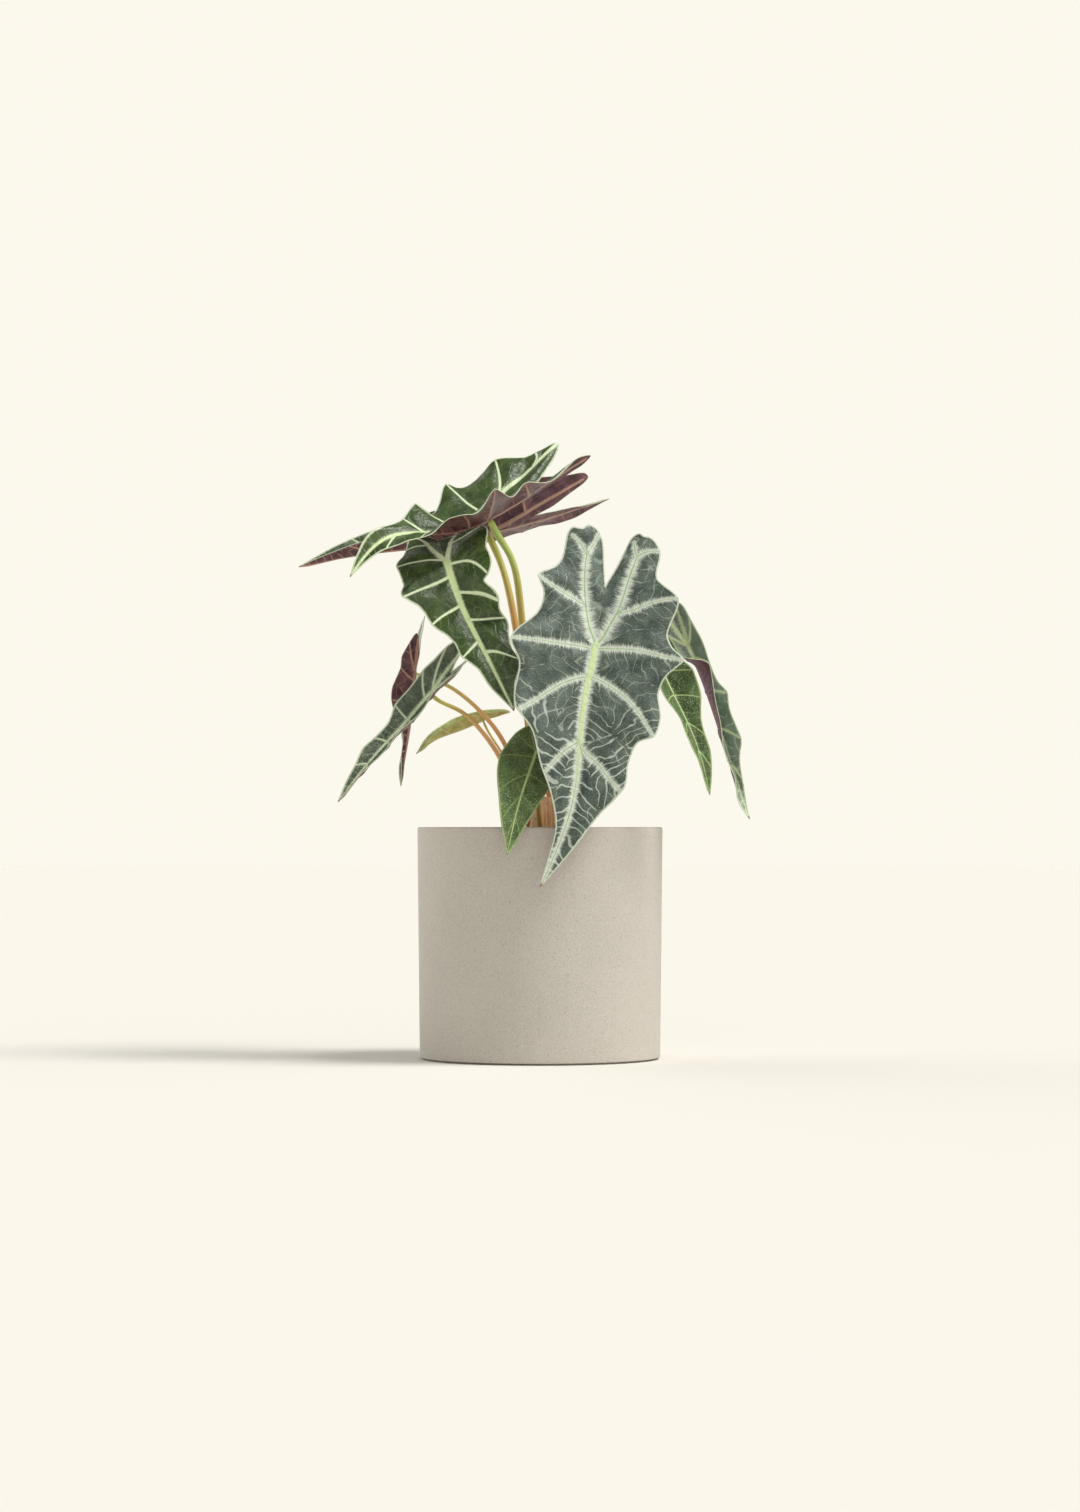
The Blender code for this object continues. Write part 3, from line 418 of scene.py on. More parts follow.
def spline(knots: np.ndarray, values: np.ndarray, places: np.ndarray) -> np.ndarray:
    """A smooth curve through values: cubic pieces of like slope and bend where they meet, unbent at the ends.

    Args:
        knots: Rising parameters, one for each value.
        values: Array of points, one row for each knot.
        places: Parameters to read the curve at.

    Returns:
        Array of points, one row for each place.
    """
    step = np.diff(knots)
    count = len(knots)
    matrix = np.eye(count)
    bend = np.zeros_like(values)
    for i in range(1, count - 1):
        matrix[i, i - 1:i + 2] = (step[i - 1], 2 * (step[i - 1] + step[i]), step[i])
        bend[i] = 6 * ((values[i + 1] - values[i]) / step[i] - (values[i] - values[i - 1]) / step[i - 1])
    bend = np.linalg.solve(matrix, bend)
    k = np.clip(np.searchsorted(knots, places) - 1, 0, count - 2)
    width = step[k][:, None]
    after = (np.asarray(places) - knots[k])[:, None]
    before = width - after
    return ((bend[k] * before ** 3 + bend[k + 1] * after ** 3) / (6 * width)
            + (values[k] / width - bend[k] * width / 6) * before
            + (values[k + 1] / width - bend[k + 1] * width / 6) * after)


def run_of(points: np.ndarray) -> np.ndarray:
    """Length along a line of points up to each of them."""
    return np.concatenate(([0.0], np.cumsum(np.linalg.norm(np.diff(points, axis=0), axis=1))))


def through(points: tuple, places: np.ndarray) -> np.ndarray:
    """A smooth curve through points, read at fractions of its chord length.

    Args:
        points: Points of the curve.
        places: Fractions, 0 to 1.

    Returns:
        A point for each place.
    """
    points = np.asarray(points, float)
    knots = run_of(points)
    return spline(knots, points, np.asarray(places) * knots[-1])


def smoothed(values: np.ndarray, reach: int) -> np.ndarray:
    """Running mean over twice the reach plus one, with the end values held beyond the ends."""
    padded = np.concatenate((np.full(reach, values[0]), values, np.full(reach, values[-1])))
    return np.convolve(padded, np.full(2 * reach + 1, 1 / (2 * reach + 1)), "valid")


def hump(values: np.ndarray, width: float | np.ndarray) -> np.ndarray:
    """A bell of height 1: e to the minus square of value over width."""
    return np.exp(-(values / width) ** 2)


def waves(places: np.ndarray, seed: int, size: float, layers: int = 6) -> np.ndarray:
    """Soft unevenness: a sum of sine waves in seeded directions, each layer shorter and lower than the last.

    Args:
        places: Array of points, last axis 2 or 3.
        seed: Seed of directions and phases.
        size: Length of the longest wave.
        layers: Number of waves.

    Returns:
        Values of about -1 to 1.
    """
    dice = np.random.default_rng(seed)
    total = np.zeros(places.shape[:-1])
    for layer in range(layers):
        direction = unit(dice.normal(size=places.shape[-1])) * 2 * np.pi * 1.35 ** layer / size
        total += np.sin(places @ direction + dice.uniform(0, 2 * np.pi)) / 1.2 ** layer
    return total / layers ** .5


def turns(sides: int) -> np.ndarray:
    """Angles of evenly spaced points once round."""
    return np.arange(sides) * 2 * np.pi / sides


def grid_faces(index: np.ndarray, closed: bool = False) -> np.ndarray:
    """Quads of a grid of vertex numbers, joined across its second axis when closed.

    Args:
        index: Rows by columns of vertex numbers.
        closed: True where the last column joins the first.

    Returns:
        Four vertex numbers for each face.
    """
    nxt = np.roll(index, -1, axis=1) if closed else index[:, 1:]
    now = index if closed else index[:, :-1]
    return np.stack((now[:-1], nxt[:-1], nxt[1:], now[1:]), -1).reshape(-1, 4)


def tidy_faces(faces: np.ndarray) -> np.ndarray:
    """Faces with a doubled corner turned round until it stands last, and mere lines left out.

    Args:
        faces: Four vertex numbers for each face.

    Returns:
        The faces that are left.
    """
    doubled = faces == np.roll(faces, -1, axis=1)
    kept = doubled.sum(axis=1) < 2
    faces, doubled = faces[kept], doubled[kept]
    shift = np.where(doubled.any(axis=1), 2 - doubled.argmax(axis=1), 0)
    return np.take_along_axis(faces, (np.arange(4) - shift[:, None]) % 4, axis=1)


def crossed(points: np.ndarray, faces: np.ndarray) -> np.ndarray:
    """Each face's normal times twice its area: its crossed diagonals."""
    return np.cross(points[faces[:, 2]] - points[faces[:, 0]], points[faces[:, 3]] - points[faces[:, 1]])


def link(name: str, data: bpy.types.ID) -> bpy.types.Object:
    """A new object of the given data in the scene.

    Args:
        name: The object's name.
        data: Its mesh, light or camera.

    Returns:
        The object.
    """
    piece = bpy.data.objects.new(name, data)
    bpy.context.scene.collection.objects.link(piece)
    return piece


@dataclass
class Shape:
    """A mesh in the making; a face whose last two corners are the same vertex is a triangle.

    Attributes:
        points: Its points, in millimetres.
        faces: Four vertex numbers for each face.
        kinds: Number of each face's material, or None for one material.
        readings: Values at the points that the materials read, by name.
    """

    points: np.ndarray
    faces: np.ndarray
    kinds: np.ndarray | None = None
    readings: dict[str, np.ndarray] = field(default_factory=dict)

    def make(self, name: str, finishes: list[bpy.types.Material], slot: str, node: str | None = None,
             sharp: float = 60.0) -> bpy.types.Object:
        """Put the shape into a mesh object that rides on the part's body.

        Args:
            name: The object's name.
            finishes: Its materials, in the order of kinds.
            slot: The record's slot; not used.
            node: The node that it stands for, or None.
            sharp: Edges over this angle, in degrees, stay sharp.

        Returns:
            The object, at the origin.
        """
        three = self.faces[:, 2] == self.faces[:, 3]
        sizes = np.where(three, 3, 4)
        keep = np.ones(self.faces.shape, bool)
        keep[three, 3] = False
        mesh = bpy.data.meshes.new(name)
        mesh.vertices.add(len(self.points))
        mesh.vertices.foreach_set("co", (self.points * MM).astype(np.float32).ravel())
        mesh.loops.add(int(sizes.sum()))
        mesh.loops.foreach_set("vertex_index", self.faces[keep].astype(np.int32))
        mesh.polygons.add(len(sizes))
        mesh.polygons.foreach_set("loop_start", (np.cumsum(sizes) - sizes).astype(np.int32))
        if self.kinds is not None:
            mesh.polygons.foreach_set("material_index", self.kinds.astype(np.int32))
        mesh.update(calc_edges=True)
        mesh.validate()
        for label, values in self.readings.items():
            vector = values.ndim == 2
            layer = mesh.attributes.new(label, "FLOAT_VECTOR" if vector else "FLOAT", "POINT")
            layer.data.foreach_set("vector" if vector else "value", values.astype(np.float32).ravel())
        mesh.shade_smooth()
        mesh.set_sharp_from_angle(angle=np.radians(sharp))
        for finish in finishes:
            mesh.materials.append(finish)
        piece = link(name, mesh)
        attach(piece, BODY)
        if node:
            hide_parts(node)
        log.info("%s: %d faces", name, len(sizes))
        return piece


def screen(colour: tuple) -> tuple:
    """A screen colour of 0 to 255 as linear light with full cover.

    Args:
        colour: Red, green and blue.

    Returns:
        Red, green, blue and 1.
    """
    share = np.array(colour, float) / 255
    linear = np.where(share <= .04045, share / 12.92, ((share + .055) / 1.055) ** 2.4)
    return (*[float(value) for value in linear], 1.0)


def operation(name: str, swapped: bool = False) -> Callable[["Wire", "Wire | float"], "Wire"]:
    """A method of Wire that makes the math node of that name.

    Args:
        name: The node's operation.
        swapped: True where the wire is the second value.

    Returns:
        The method.
    """
    def method(self: "Wire", other: "Wire | float") -> "Wire":
        """The result on the wire and another value."""
        return self.graph.math(name, *((other, self) if swapped else (self, other)))
    return method


@dataclass(frozen=True)
class Wire:
    """What a node gives, with plus, minus, times and divided by that make math nodes.

    Attributes:
        graph: The nodes that it belongs to.
        socket: The node's output.
    """

    graph: "Graph"
    socket: bpy.types.NodeSocket

    __add__ = __radd__ = operation("ADD")
    __mul__ = __rmul__ = operation("MULTIPLY")
    __sub__ = operation("SUBTRACT")
    __rsub__ = operation("SUBTRACT", True)
    __truediv__ = operation("DIVIDE")


Value = Wire | float | tuple | None


class Graph:
    """Nodes of a material or a world, put together by short calls that hand wires on."""

    def __init__(self, tree: bpy.types.NodeTree) -> None:
        """Work on a tree of nodes."""
        self.nodes = tree.nodes
        self.links = tree.links

    def feed(self, socket: bpy.types.NodeSocket, value: Value) -> None:
        """Link a wire to a socket, or set the socket's own value; None leaves it alone.

        Args:
            socket: The input.
            value: What it gets.
        """
        if isinstance(value, Wire):
            self.links.new(value.socket, socket)
        elif value is not None:
            socket.default_value = value

    def add(self, kind: str, *inputs: Value, out: int | str = 0, **settings: str) -> Wire:
        """A new node.

        Args:
            kind: The node's type, after ShaderNode.
            inputs: Values of its inputs, in their order.
            out: Which output to hand on.
            settings: Its settings by name.

        Returns:
            The chosen output.
        """
        node = self.nodes.new("ShaderNode" + kind)
        for label, setting in settings.items():
            setattr(node, label, setting)
        for socket, value in zip(node.inputs, inputs):
            self.feed(socket, value)
        return Wire(self, node.outputs[out])

    def read(self, label: str, vector: bool = False) -> Wire:
        """A reading that the mesh carries at its vertices."""
        return self.add("Attribute", out="Vector" if vector else "Fac", attribute_name=label)

    def place(self) -> Wire:
        """The point in the object's own metres."""
        return self.add("TexCoord", out="Object")

    def math(self, name: str, *values: Value) -> Wire:
        """One operation on numbers."""
        return self.add("Math", *values, operation=name)

    def highest(self, *values: Wire) -> Wire:
        """The highest of two or more numbers."""
        return reduce(lambda first, second: self.math("MAXIMUM", first, second), values)

    def from_whole(self, value: Wire) -> Wire:
        """How far a number lies from the nearest whole one."""
        return self.math("PINGPONG", value, .5)

    def pair(self, first: Wire, second: Wire) -> Wire:
        """Two numbers joined as a flat point."""
        return self.add("CombineXYZ", first, second)

    def scaled(self, place: Wire, factors: tuple) -> Wire:
        """A point with each part multiplied by its factor."""
        return self.add("Mapping", place, None, None, factors)

    def band(self, value: Wire, start: float, end: float) -> Wire:
        """A soft step: 0 where the value is at start, 1 where it is at end.

        Args:
            value: The number.
            start: Where the step is 0.
            end: Where it is 1.

        Returns:
            The step.
        """
        low, high = sorted((start, end))
        ends = (float(start > end), float(start <= end))
        return self.add("MapRange", value, low, high, *ends, interpolation_type="SMOOTHSTEP")

    def noise(self, place: Wire, scale: float, detail: float) -> Wire:
        """Cloudy noise, mostly .3 to .7."""
        return self.add("TexNoise", place, None, scale, detail)

    def mix(self, share: Wire, first: Wire | tuple, second: tuple) -> Wire:
        """From the first colour to the second by a share; a tuple is a screen colour."""
        start, end = (screen(colour) if isinstance(colour, tuple) else colour for colour in (first, second))
        return self.add("Mix", share, *[None] * 5, start, end, out=2, data_type="RGBA")


class Paint(Graph):
    """A material's nodes around a principled shader."""

    def __init__(self, name: str, roughness: float) -> None:
        """Start a material with a plain shader of the given roughness.

        Args:
            name: The material's name.
            roughness: Its roughness.
        """
        self.material = bpy.data.materials.new(name)
        self.material.use_nodes = True
        super().__init__(self.material.node_tree)
        self.shader = self.nodes["Principled BSDF"].inputs
        self.shader["Roughness"].default_value = roughness

    def finish(self, colour: Wire, height: Wire, depth: float,
               roughness: Wire | None = None) -> bpy.types.Material:
        """Lay colour, bump and roughness on the shader.

        Args:
            colour: The base colour.
            height: The bump's height, 0 to 1.
            depth: What a height of 1 stands for, in metres.
            roughness: The roughness, where it varies.

        Returns:
            The finished material.
        """
        self.feed(self.shader["Base Color"], colour)
        bump = self.nodes.new("ShaderNodeBump")
        bump.inputs["Strength"].default_value = 1.0
        bump.inputs["Distance"].default_value = depth
        self.feed(bump.inputs["Height"], height)
        self.links.new(bump.outputs[0], self.shader["Normal"])
        self.feed(self.shader["Roughness"], roughness)
        return self.material


class Midrib:
    """The centre line of a blade, measured in parts of the length from the joint to the tip."""

    SAMPLES = 801
    ANGLE_REACH = 10

    def __init__(self, leaf: Leaf) -> None:
        """Measure the line and soften the wing angles over a short way.

        Args:
            leaf: The leaf.
        """
        fractions = np.linspace(0, 1, self.SAMPLES)
        self.curve = through(leaf.midrib, fractions)
        chords = np.linalg.norm(np.diff(np.array(leaf.midrib, float), axis=0), axis=1)
        run = run_of(self.curve)
        to_joint = np.interp(chords[0] / chords.sum(), fractions, run)
        self.length = float(run[-1] - to_joint)
        self.places = (run - to_joint) / self.length
        self.heading = unit(np.gradient(self.curve, axis=0))
        table = np.array(leaf.wings, float)
        self.stations = np.linspace(-.6, 1, 321)
        self.folds = [smoothed(np.interp(self.stations, table[:, 0], table[:, k]), self.ANGLE_REACH)
                      for k in (1, 2, 3, 4)]

    def frame(self, roots: np.ndarray) -> tuple[np.ndarray, np.ndarray, np.ndarray, np.ndarray]:
        """Point, heading, viewer direction and side direction at each root.

        Args:
            roots: Places on the midrib, in parts of its length.

        Returns:
            Four arrays, with a row for each root.
        """
        point = np.stack([np.interp(roots, self.places, self.curve[:, i]) for i in range(3)], -1)
        heading = unit(np.stack([np.interp(roots, self.places, self.heading[:, i]) for i in range(3)], -1))
        behind = np.minimum(roots - self.places[0], 0)[:, None] * self.length
        viewer = np.array((0, -1.0, 0))
        front = unit(viewer - (heading @ viewer)[:, None] * heading)
        return point + behind * heading, heading, front, np.cross(heading, front)

    def wing(self, roots: np.ndarray, side: int) -> tuple[np.ndarray, np.ndarray, np.ndarray]:
        """Direction across one half, its upper normal and its curl, at each root.

        Args:
            roots: Places on the midrib, in parts of its length.
            side: 0 or 1.

        Returns:
            Three arrays, with a row for each root.
        """
        _, _, front, across = self.frame(roots)
        angle = np.radians(np.interp(roots, self.stations, self.folds[2 * side]))[:, None]
        curl = np.interp(roots, self.stations, self.folds[2 * side + 1])
        out = np.cos(angle) * across + np.sin(angle) * front
        upward = angle + np.pi / 2 * (1 - 2 * side)
        return out, np.cos(upward) * across + np.sin(upward) * front, curl

    def joint_normal(self) -> np.ndarray:
        """The upper normal at the joint, between those of the two halves."""
        root = np.zeros(1)
        return unit(self.wing(root, 0)[1] + self.wing(root, 1)[1])[0]


def beside(places: np.ndarray, curve: np.ndarray) -> tuple[np.ndarray, np.ndarray, np.ndarray]:
    """Where flat places lie from a line of points.

    The nearest point of each stretch is the place's shadow on it, held between its ends.

    Args:
        places: Array of flat points.
        curve: The line's points.

    Returns:
        The distance, the run along the line to the nearest point, and the distance with a sign for the side.
    """
    start = curve[:-1]
    span = np.diff(curve, axis=0)
    size = np.maximum((span ** 2).sum(-1), 1e-12)
    away = places[:, None, :] - start[None]
    share = np.clip((away * span).sum(-1) / size, 0, 1)
    distance = np.linalg.norm(away - share[..., None] * span, axis=-1)
    best = distance.argmin(axis=1)
    rows = np.arange(len(places))
    run = run_of(curve)[best] + share[rows, best] * np.sqrt(size[best])
    turn = span[best, 0] * away[rows, best, 1] - span[best, 1] * away[rows, best, 0]
    near = distance[rows, best]
    return near, run, near * np.where(turn < 0, -1.0, 1.0)


@dataclass
class Blade:
    """A leaf blade: two half surfaces on a midrib, a thin shell with veins in relief and a rounded margin.

    Attributes:
        leaf: The leaf's line, outline, folds and finish.
        rows: Rows from the notch round to the tip.
        columns: Columns from the midrib to the margin.
        crease: Radius that rounds the fold at the midrib, in millimetres.
        quilt: How far the blade swells between its primary veins, in millimetres.
        quilt_width: How fast it swells beside a vein, in millimetres.
        bead: How far the rounded margin reaches out, in millimetres.
        uneven: Height of the blade's soft unevenness, in millimetres.
        uneven_size: Length of its longest wave, in millimetres.
        smooth, straight: Shares of the smooth curve and of the straight lines in the outline.
        crowd: Power by which the columns crowd towards the midrib.
        calm: Widths in millimetres over which the swelling grows from the margin and from the midrib, and
            the unevenness from the midrib.
    """

    leaf: Leaf
    rows: int = 320
    columns: int = 44
    crease: float = 1.5
    quilt: float = .7
    quilt_width: float = 5.0
    bead: float = .3
    uneven: float = .35
    uneven_size: float = 42.0
    smooth: float = .7
    straight: float = .3
    crowd: float = 1.1
    calm: tuple = (6.0, 5.0, 8.0)

    def outlines(self) -> tuple[np.ndarray, list[np.ndarray], np.ndarray]:
        """Roots, outline points of both halves and the margin's wave, at evenly spaced rows.

        Outlines are read at even lengths of their mean chord, partly as a smooth curve and partly straight.

        Returns:
            Each row's place on the midrib, the points of both halves, and the wave.
        """
        roots = np.array(self.leaf.plan.roots)
        crests = self.leaf.plan.crests
        halves = [np.array(half, float) for half in self.leaf.halves]
        knots = (run_of(halves[0]) + run_of(halves[1])) / 2
        even = np.linspace(0, knots[-1], self.rows)
        lines = [self.smooth * spline(knots, half, even)
                 + self.straight * np.stack([np.interp(even, knots, half[:, k]) for k in (0, 1)], -1)
                 for half in halves]
        for line, half in zip(lines, halves):
            line[:, 0] = np.maximum(line[:, 0], 0)
            line[0], line[-1] = half[0], half[-1]
        placed = smoothed(np.interp(even, knots, roots), self.rows // 60)
        placed[0], placed[-1] = roots[0], roots[-1]
        count = np.interp(even, knots, np.arange(len(roots)))
        phase = np.interp(count, (0,) + crests + (len(roots) - 1,), np.arange(len(crests) + 2))
        return placed, lines, np.cos(2 * np.pi * phase)

    def vein_curves(self, side: int) -> list[np.ndarray]:
        """The half's vein curves on the flattened blade, in parts of the midrib's length.

        Args:
            side: 0 or 1.

        Returns:
            Points of each curve.
        """
        given = self.leaf.veins[side]
        outline = np.array(self.leaf.halves[side], float)
        if given is None:
            lobe = outline[self.leaf.plan.lobe]
            given = [((0, 0), (.45 * lobe[0], .4 * lobe[1]), (.78 * lobe[0], .75 * lobe[1]), .95 * lobe)]
            for index, start in self.leaf.plan.branches:
                root = (0, start) if start is not None else (.42 * lobe[0], .37 * lobe[1])
                end = outline[index] * (.97, 1)
                bow = ((root[0] + end[0]) / 2, root[1] + .4 * (end[1] - root[1]))
                given.append((root, bow, tuple(end)))
        return [through(curve, np.linspace(0, 1, 24)) for curve in given]

    def readings(self, flat: np.ndarray, side: int, line: np.ndarray, length: float) -> dict[str, np.ndarray]:
        """What the materials read at each point of a half: where it lies from veins, midrib and margin.

        Args:
            flat: Points of the flattened half, in parts of the midrib's length.
            side: 0 or 1.
            line: The half's margin, in the same measure.
            length: The midrib's length in millimetres.

        Returns:
            Distances in millimetres under the names that the materials use.
        """
        midline = np.array(((0.0, 0.0), (0.0, 1.0)))
        away = []
        for number, curve in enumerate((midline, *self.vein_curves(side))):
            near, run, signed = beside(flat, curve)
            size = LOBE_VEIN if number == 1 else 1.0
            taper = size * (1 - VEIN_TAPER * run / run_of(curve)[-1])
            away.append((near * length, run * length + VEIN_APART * number, signed * length, taper))
        nears, runs, signs, tapers = (np.array([row[k] for row in away]) for k in range(4))
        first = nears.argmin(axis=0)
        pick = np.arange(len(flat))
        ordered = np.sort(nears, axis=0)
        spine = beside(flat, midline)[0] * length
        return {"off": ordered[0], "gap": ordered[1] - ordered[0], "run": runs[first, pick],
                "signed": signs[first, pick], "taper": tapers[first, pick], "spine": spine,
                "rim": beside(flat, line)[0] * length, "tip": np.clip(flat[:, 1], 0, 1),
                "plan": np.concatenate((flat * (1 - 2 * side, 1) * length / 10, np.zeros((len(flat), 1))), 1)}

    def half(self, midrib: Midrib, placed: np.ndarray, line: np.ndarray, wave: np.ndarray,
             side: int) -> tuple[np.ndarray, dict[str, np.ndarray]]:
        """Middle surface of one half.

        A point goes from its root on the midrib straight towards its point of the outline, arched a little
        towards the rear, curled by the wing's curl and lifted by the margin's wave. The fold at the midrib is
        rounded by root(x squared + r squared) - x along the mean of both wings, and the blade swells between
        veins by the quilt's height times 1 - hump(distance).

        Args:
            midrib: The midrib.
            placed: Each row's place on it.
            line: Each row's point of the outline.
            wave: The margin's wave at each row.
            side: 0 or 1.

        Returns:
            Rows by columns of points, and the readings of its points in the same order.
        """
        share = np.linspace(0, 1, self.columns)[None, :] ** self.crowd
        point, heading, _, _ = midrib.frame(placed)
        out, normal, curl = midrib.wing(placed, side)
        mean = (out + midrib.wing(placed, 1 - side)[0]) / 2
        width = (line[:, 0] * midrib.length)[:, None]
        along = ((line[:, 1] - placed) * midrib.length)[:, None]
        lift = (self.leaf.ripple * midrib.length * wave * np.minimum(line[:, 0] / .2, 1))[:, None]
        across = width * share
        back = share * along - ARCH * width * share * (1 - share)
        flat = np.stack((across, placed[:, None] * midrib.length + back), -1).reshape(-1, 2) / midrib.length
        seen = self.readings(flat, side, line, midrib.length)
        swell = self.quilt * (1 - hump(seen["off"], self.quilt_width))
        swell = swell * np.minimum(seen["rim"] / self.calm[0], 1)
        swell = swell * np.minimum(seen["spine"] / self.calm[1], 1)
        uneven = self.uneven * waves(flat * midrib.length, len(self.leaf.name) + side, self.uneven_size)
        uneven = uneven * np.minimum(seen["spine"] / self.calm[2], 1)
        rise = (curl[:, None] * width + lift) * share * share + (swell + uneven).reshape(across.shape)
        fold = self.crease * np.clip((1 - placed) / .2, 0, 1)[:, None]
        round_off = np.sqrt(across ** 2 + fold ** 2) - across
        return (point[:, None] + across[..., None] * out[:, None] + back[..., None] * heading[:, None]
                + rise[..., None] * normal[:, None] + round_off[..., None] * mean[:, None]), seen

    def shape(self) -> Shape:
        """The closed shell: upper face, under face with ridges under its veins, and a rounded margin.

        Returns:
            The shell.
        """
        midrib = Midrib(self.leaf)
        placed, lines, wave = self.outlines()
        halves = [self.half(midrib, placed, lines[side], wave, side) for side in (0, 1)]
        count = self.rows * self.columns
        index = [np.arange(count).reshape(self.rows, self.columns) + side * count for side in (0, 1)]
        index[1][:, 0] = index[0][:, 0]
        index[1][0] = index[0][0]
        for grid in index:
            grid[-1] = index[0][-1, 0]
        faces = tidy_faces(np.concatenate((grid_faces(index[0]), grid_faces(index[1])[:, ::-1])))
        used = np.unique(faces)
        renumber = np.full(2 * count, -1)
        renumber[used] = np.arange(len(used))
        faces = renumber[faces]
        points = np.concatenate([half[0].reshape(-1, 3) for half in halves])[used]
        seen = {label: np.concatenate([half[1][label] for half in halves])[used] for label in halves[0][1]}
        normals = face_normals(points, faces)
        ridge = (MIDRIB_DEPTH * (1 - seen["tip"] / 2) * hump(seen["spine"], 1.6)
                 + VEIN_DEPTH * hump(seen["off"], .7 + .6 * seen["taper"])) * np.minimum(seen["rim"] / 2, 1)
        half_thick = BLADE_THICKNESS / 2
        upper = points + normals * (half_thick + .25 * hump(seen["spine"], 1.4) * (1 - seen["tip"]))[:, None]
        lower = points - normals * (half_thick + ridge)[:, None]
        margin = renumber[np.concatenate((index[0][:, -1], index[1][-2:0:-1, -1]))]
        ring, upward = points[margin], normals[margin]
        outward = np.cross(unit(np.roll(ring, -1, axis=0) - np.roll(ring, 1, axis=0)), upward)
        if (outward * (ring - points.mean(axis=0))).sum() < 0:
            outward = -outward
        beads = [ring + outward * self.bead * np.cos(turn) + upward * half_thick * np.sin(turn)
                 for turn in np.radians((45, 0, -45))]
        every = np.concatenate((upper, lower, *beads))
        total, size = len(points), len(margin)
        labels = [margin, *(2 * total + k * size + np.arange(size) for k in range(3)), margin + total]
        sides = grid_faces(np.array(labels), closed=True)
        if (crossed(every, sides) * np.tile(outward, (4, 1))).sum() < 0:
            sides = sides[:, ::-1]
        shell = tidy_faces(np.concatenate((faces, faces[:, ::-1] + total, sides)))
        kinds = np.repeat((0, 1, 0), (len(faces), len(faces), len(sides)))
        full = {label: np.concatenate((values, values, *[values[margin]] * 3))
                for label, values in seen.items()}
        return Shape(every, shell, kinds, full)

    def dress(self) -> list[bpy.types.Material]:
        """Upper and under materials of the blade."""
        return [upper_skin(self.leaf), under_skin(self.leaf)]

    def build(self) -> bpy.types.Object:
        """Make the blade in place of its node."""
        name, slot = self.leaf.name, self.leaf.finish.slot.value
        return self.shape().make("leaf_" + name, self.dress(), slot, "blade_" + name, 180.0)


def face_normals(points: np.ndarray, faces: np.ndarray) -> np.ndarray:
    """The mean normal at each point: the crossed diagonals of its faces added up and scaled to 1.

    Args:
        points: The points.
        faces: Four vertex numbers for each face.

    Returns:
        A direction for each point.
    """
    total = np.zeros_like(points)
    normal = crossed(points, faces)
    for k in range(4):
        np.add.at(total, faces[:, k], normal)
    return unit(total)


def net_lines(g: Graph, plan: Wire, off: Wire, run: Wire, low: Wire) -> Wire:
    """The fine veins: rungs aslant from the nearest vein, lines along it, and the line half way between two.

    A rung stands where run / 6.6 mm - off / 13 mm plus a slow and a quick wobble is a whole number. Towards
    the tip, where low is 1, the rungs are broader and fewer of them break off.

    Args:
        g: The material's nodes.
        plan: Place on the flattened blade, in centimetres.
        off: Distance to the nearest vein.
        run: Length along that vein.
        low: From 0 near the joint to 1 towards the tip.

    Returns:
        Strength of the net, 0 to 1.
    """
    wobble = g.noise(plan, .3, 1) * 4.5 + g.noise(plan, 1.1, 1) * 1.1
    rung = g.from_whole(run / 6.6 - off / 13.0 + wobble)
    breadth = (low * .05 + .07) * (1.15 - off / 34.0)
    kept = g.highest(g.band(g.noise(plan, .45, 1), .4, .52), low * .85)
    beam = g.band(g.from_whole(off / 8.5 + g.noise(plan, .45, 2) * 3.2), .06, .02)
    beam = beam * g.band(g.noise(plan, .9, 1), .48, .6)
    seam = g.band(g.read("gap") + g.noise(plan, 1.2, 1) * 4.0, 2.6, 1.9) * g.band(off, 3.5, 6.0)
    return g.highest(g.band(rung / breadth, 1.1, .35) * kept, beam * .6, seam * .8)


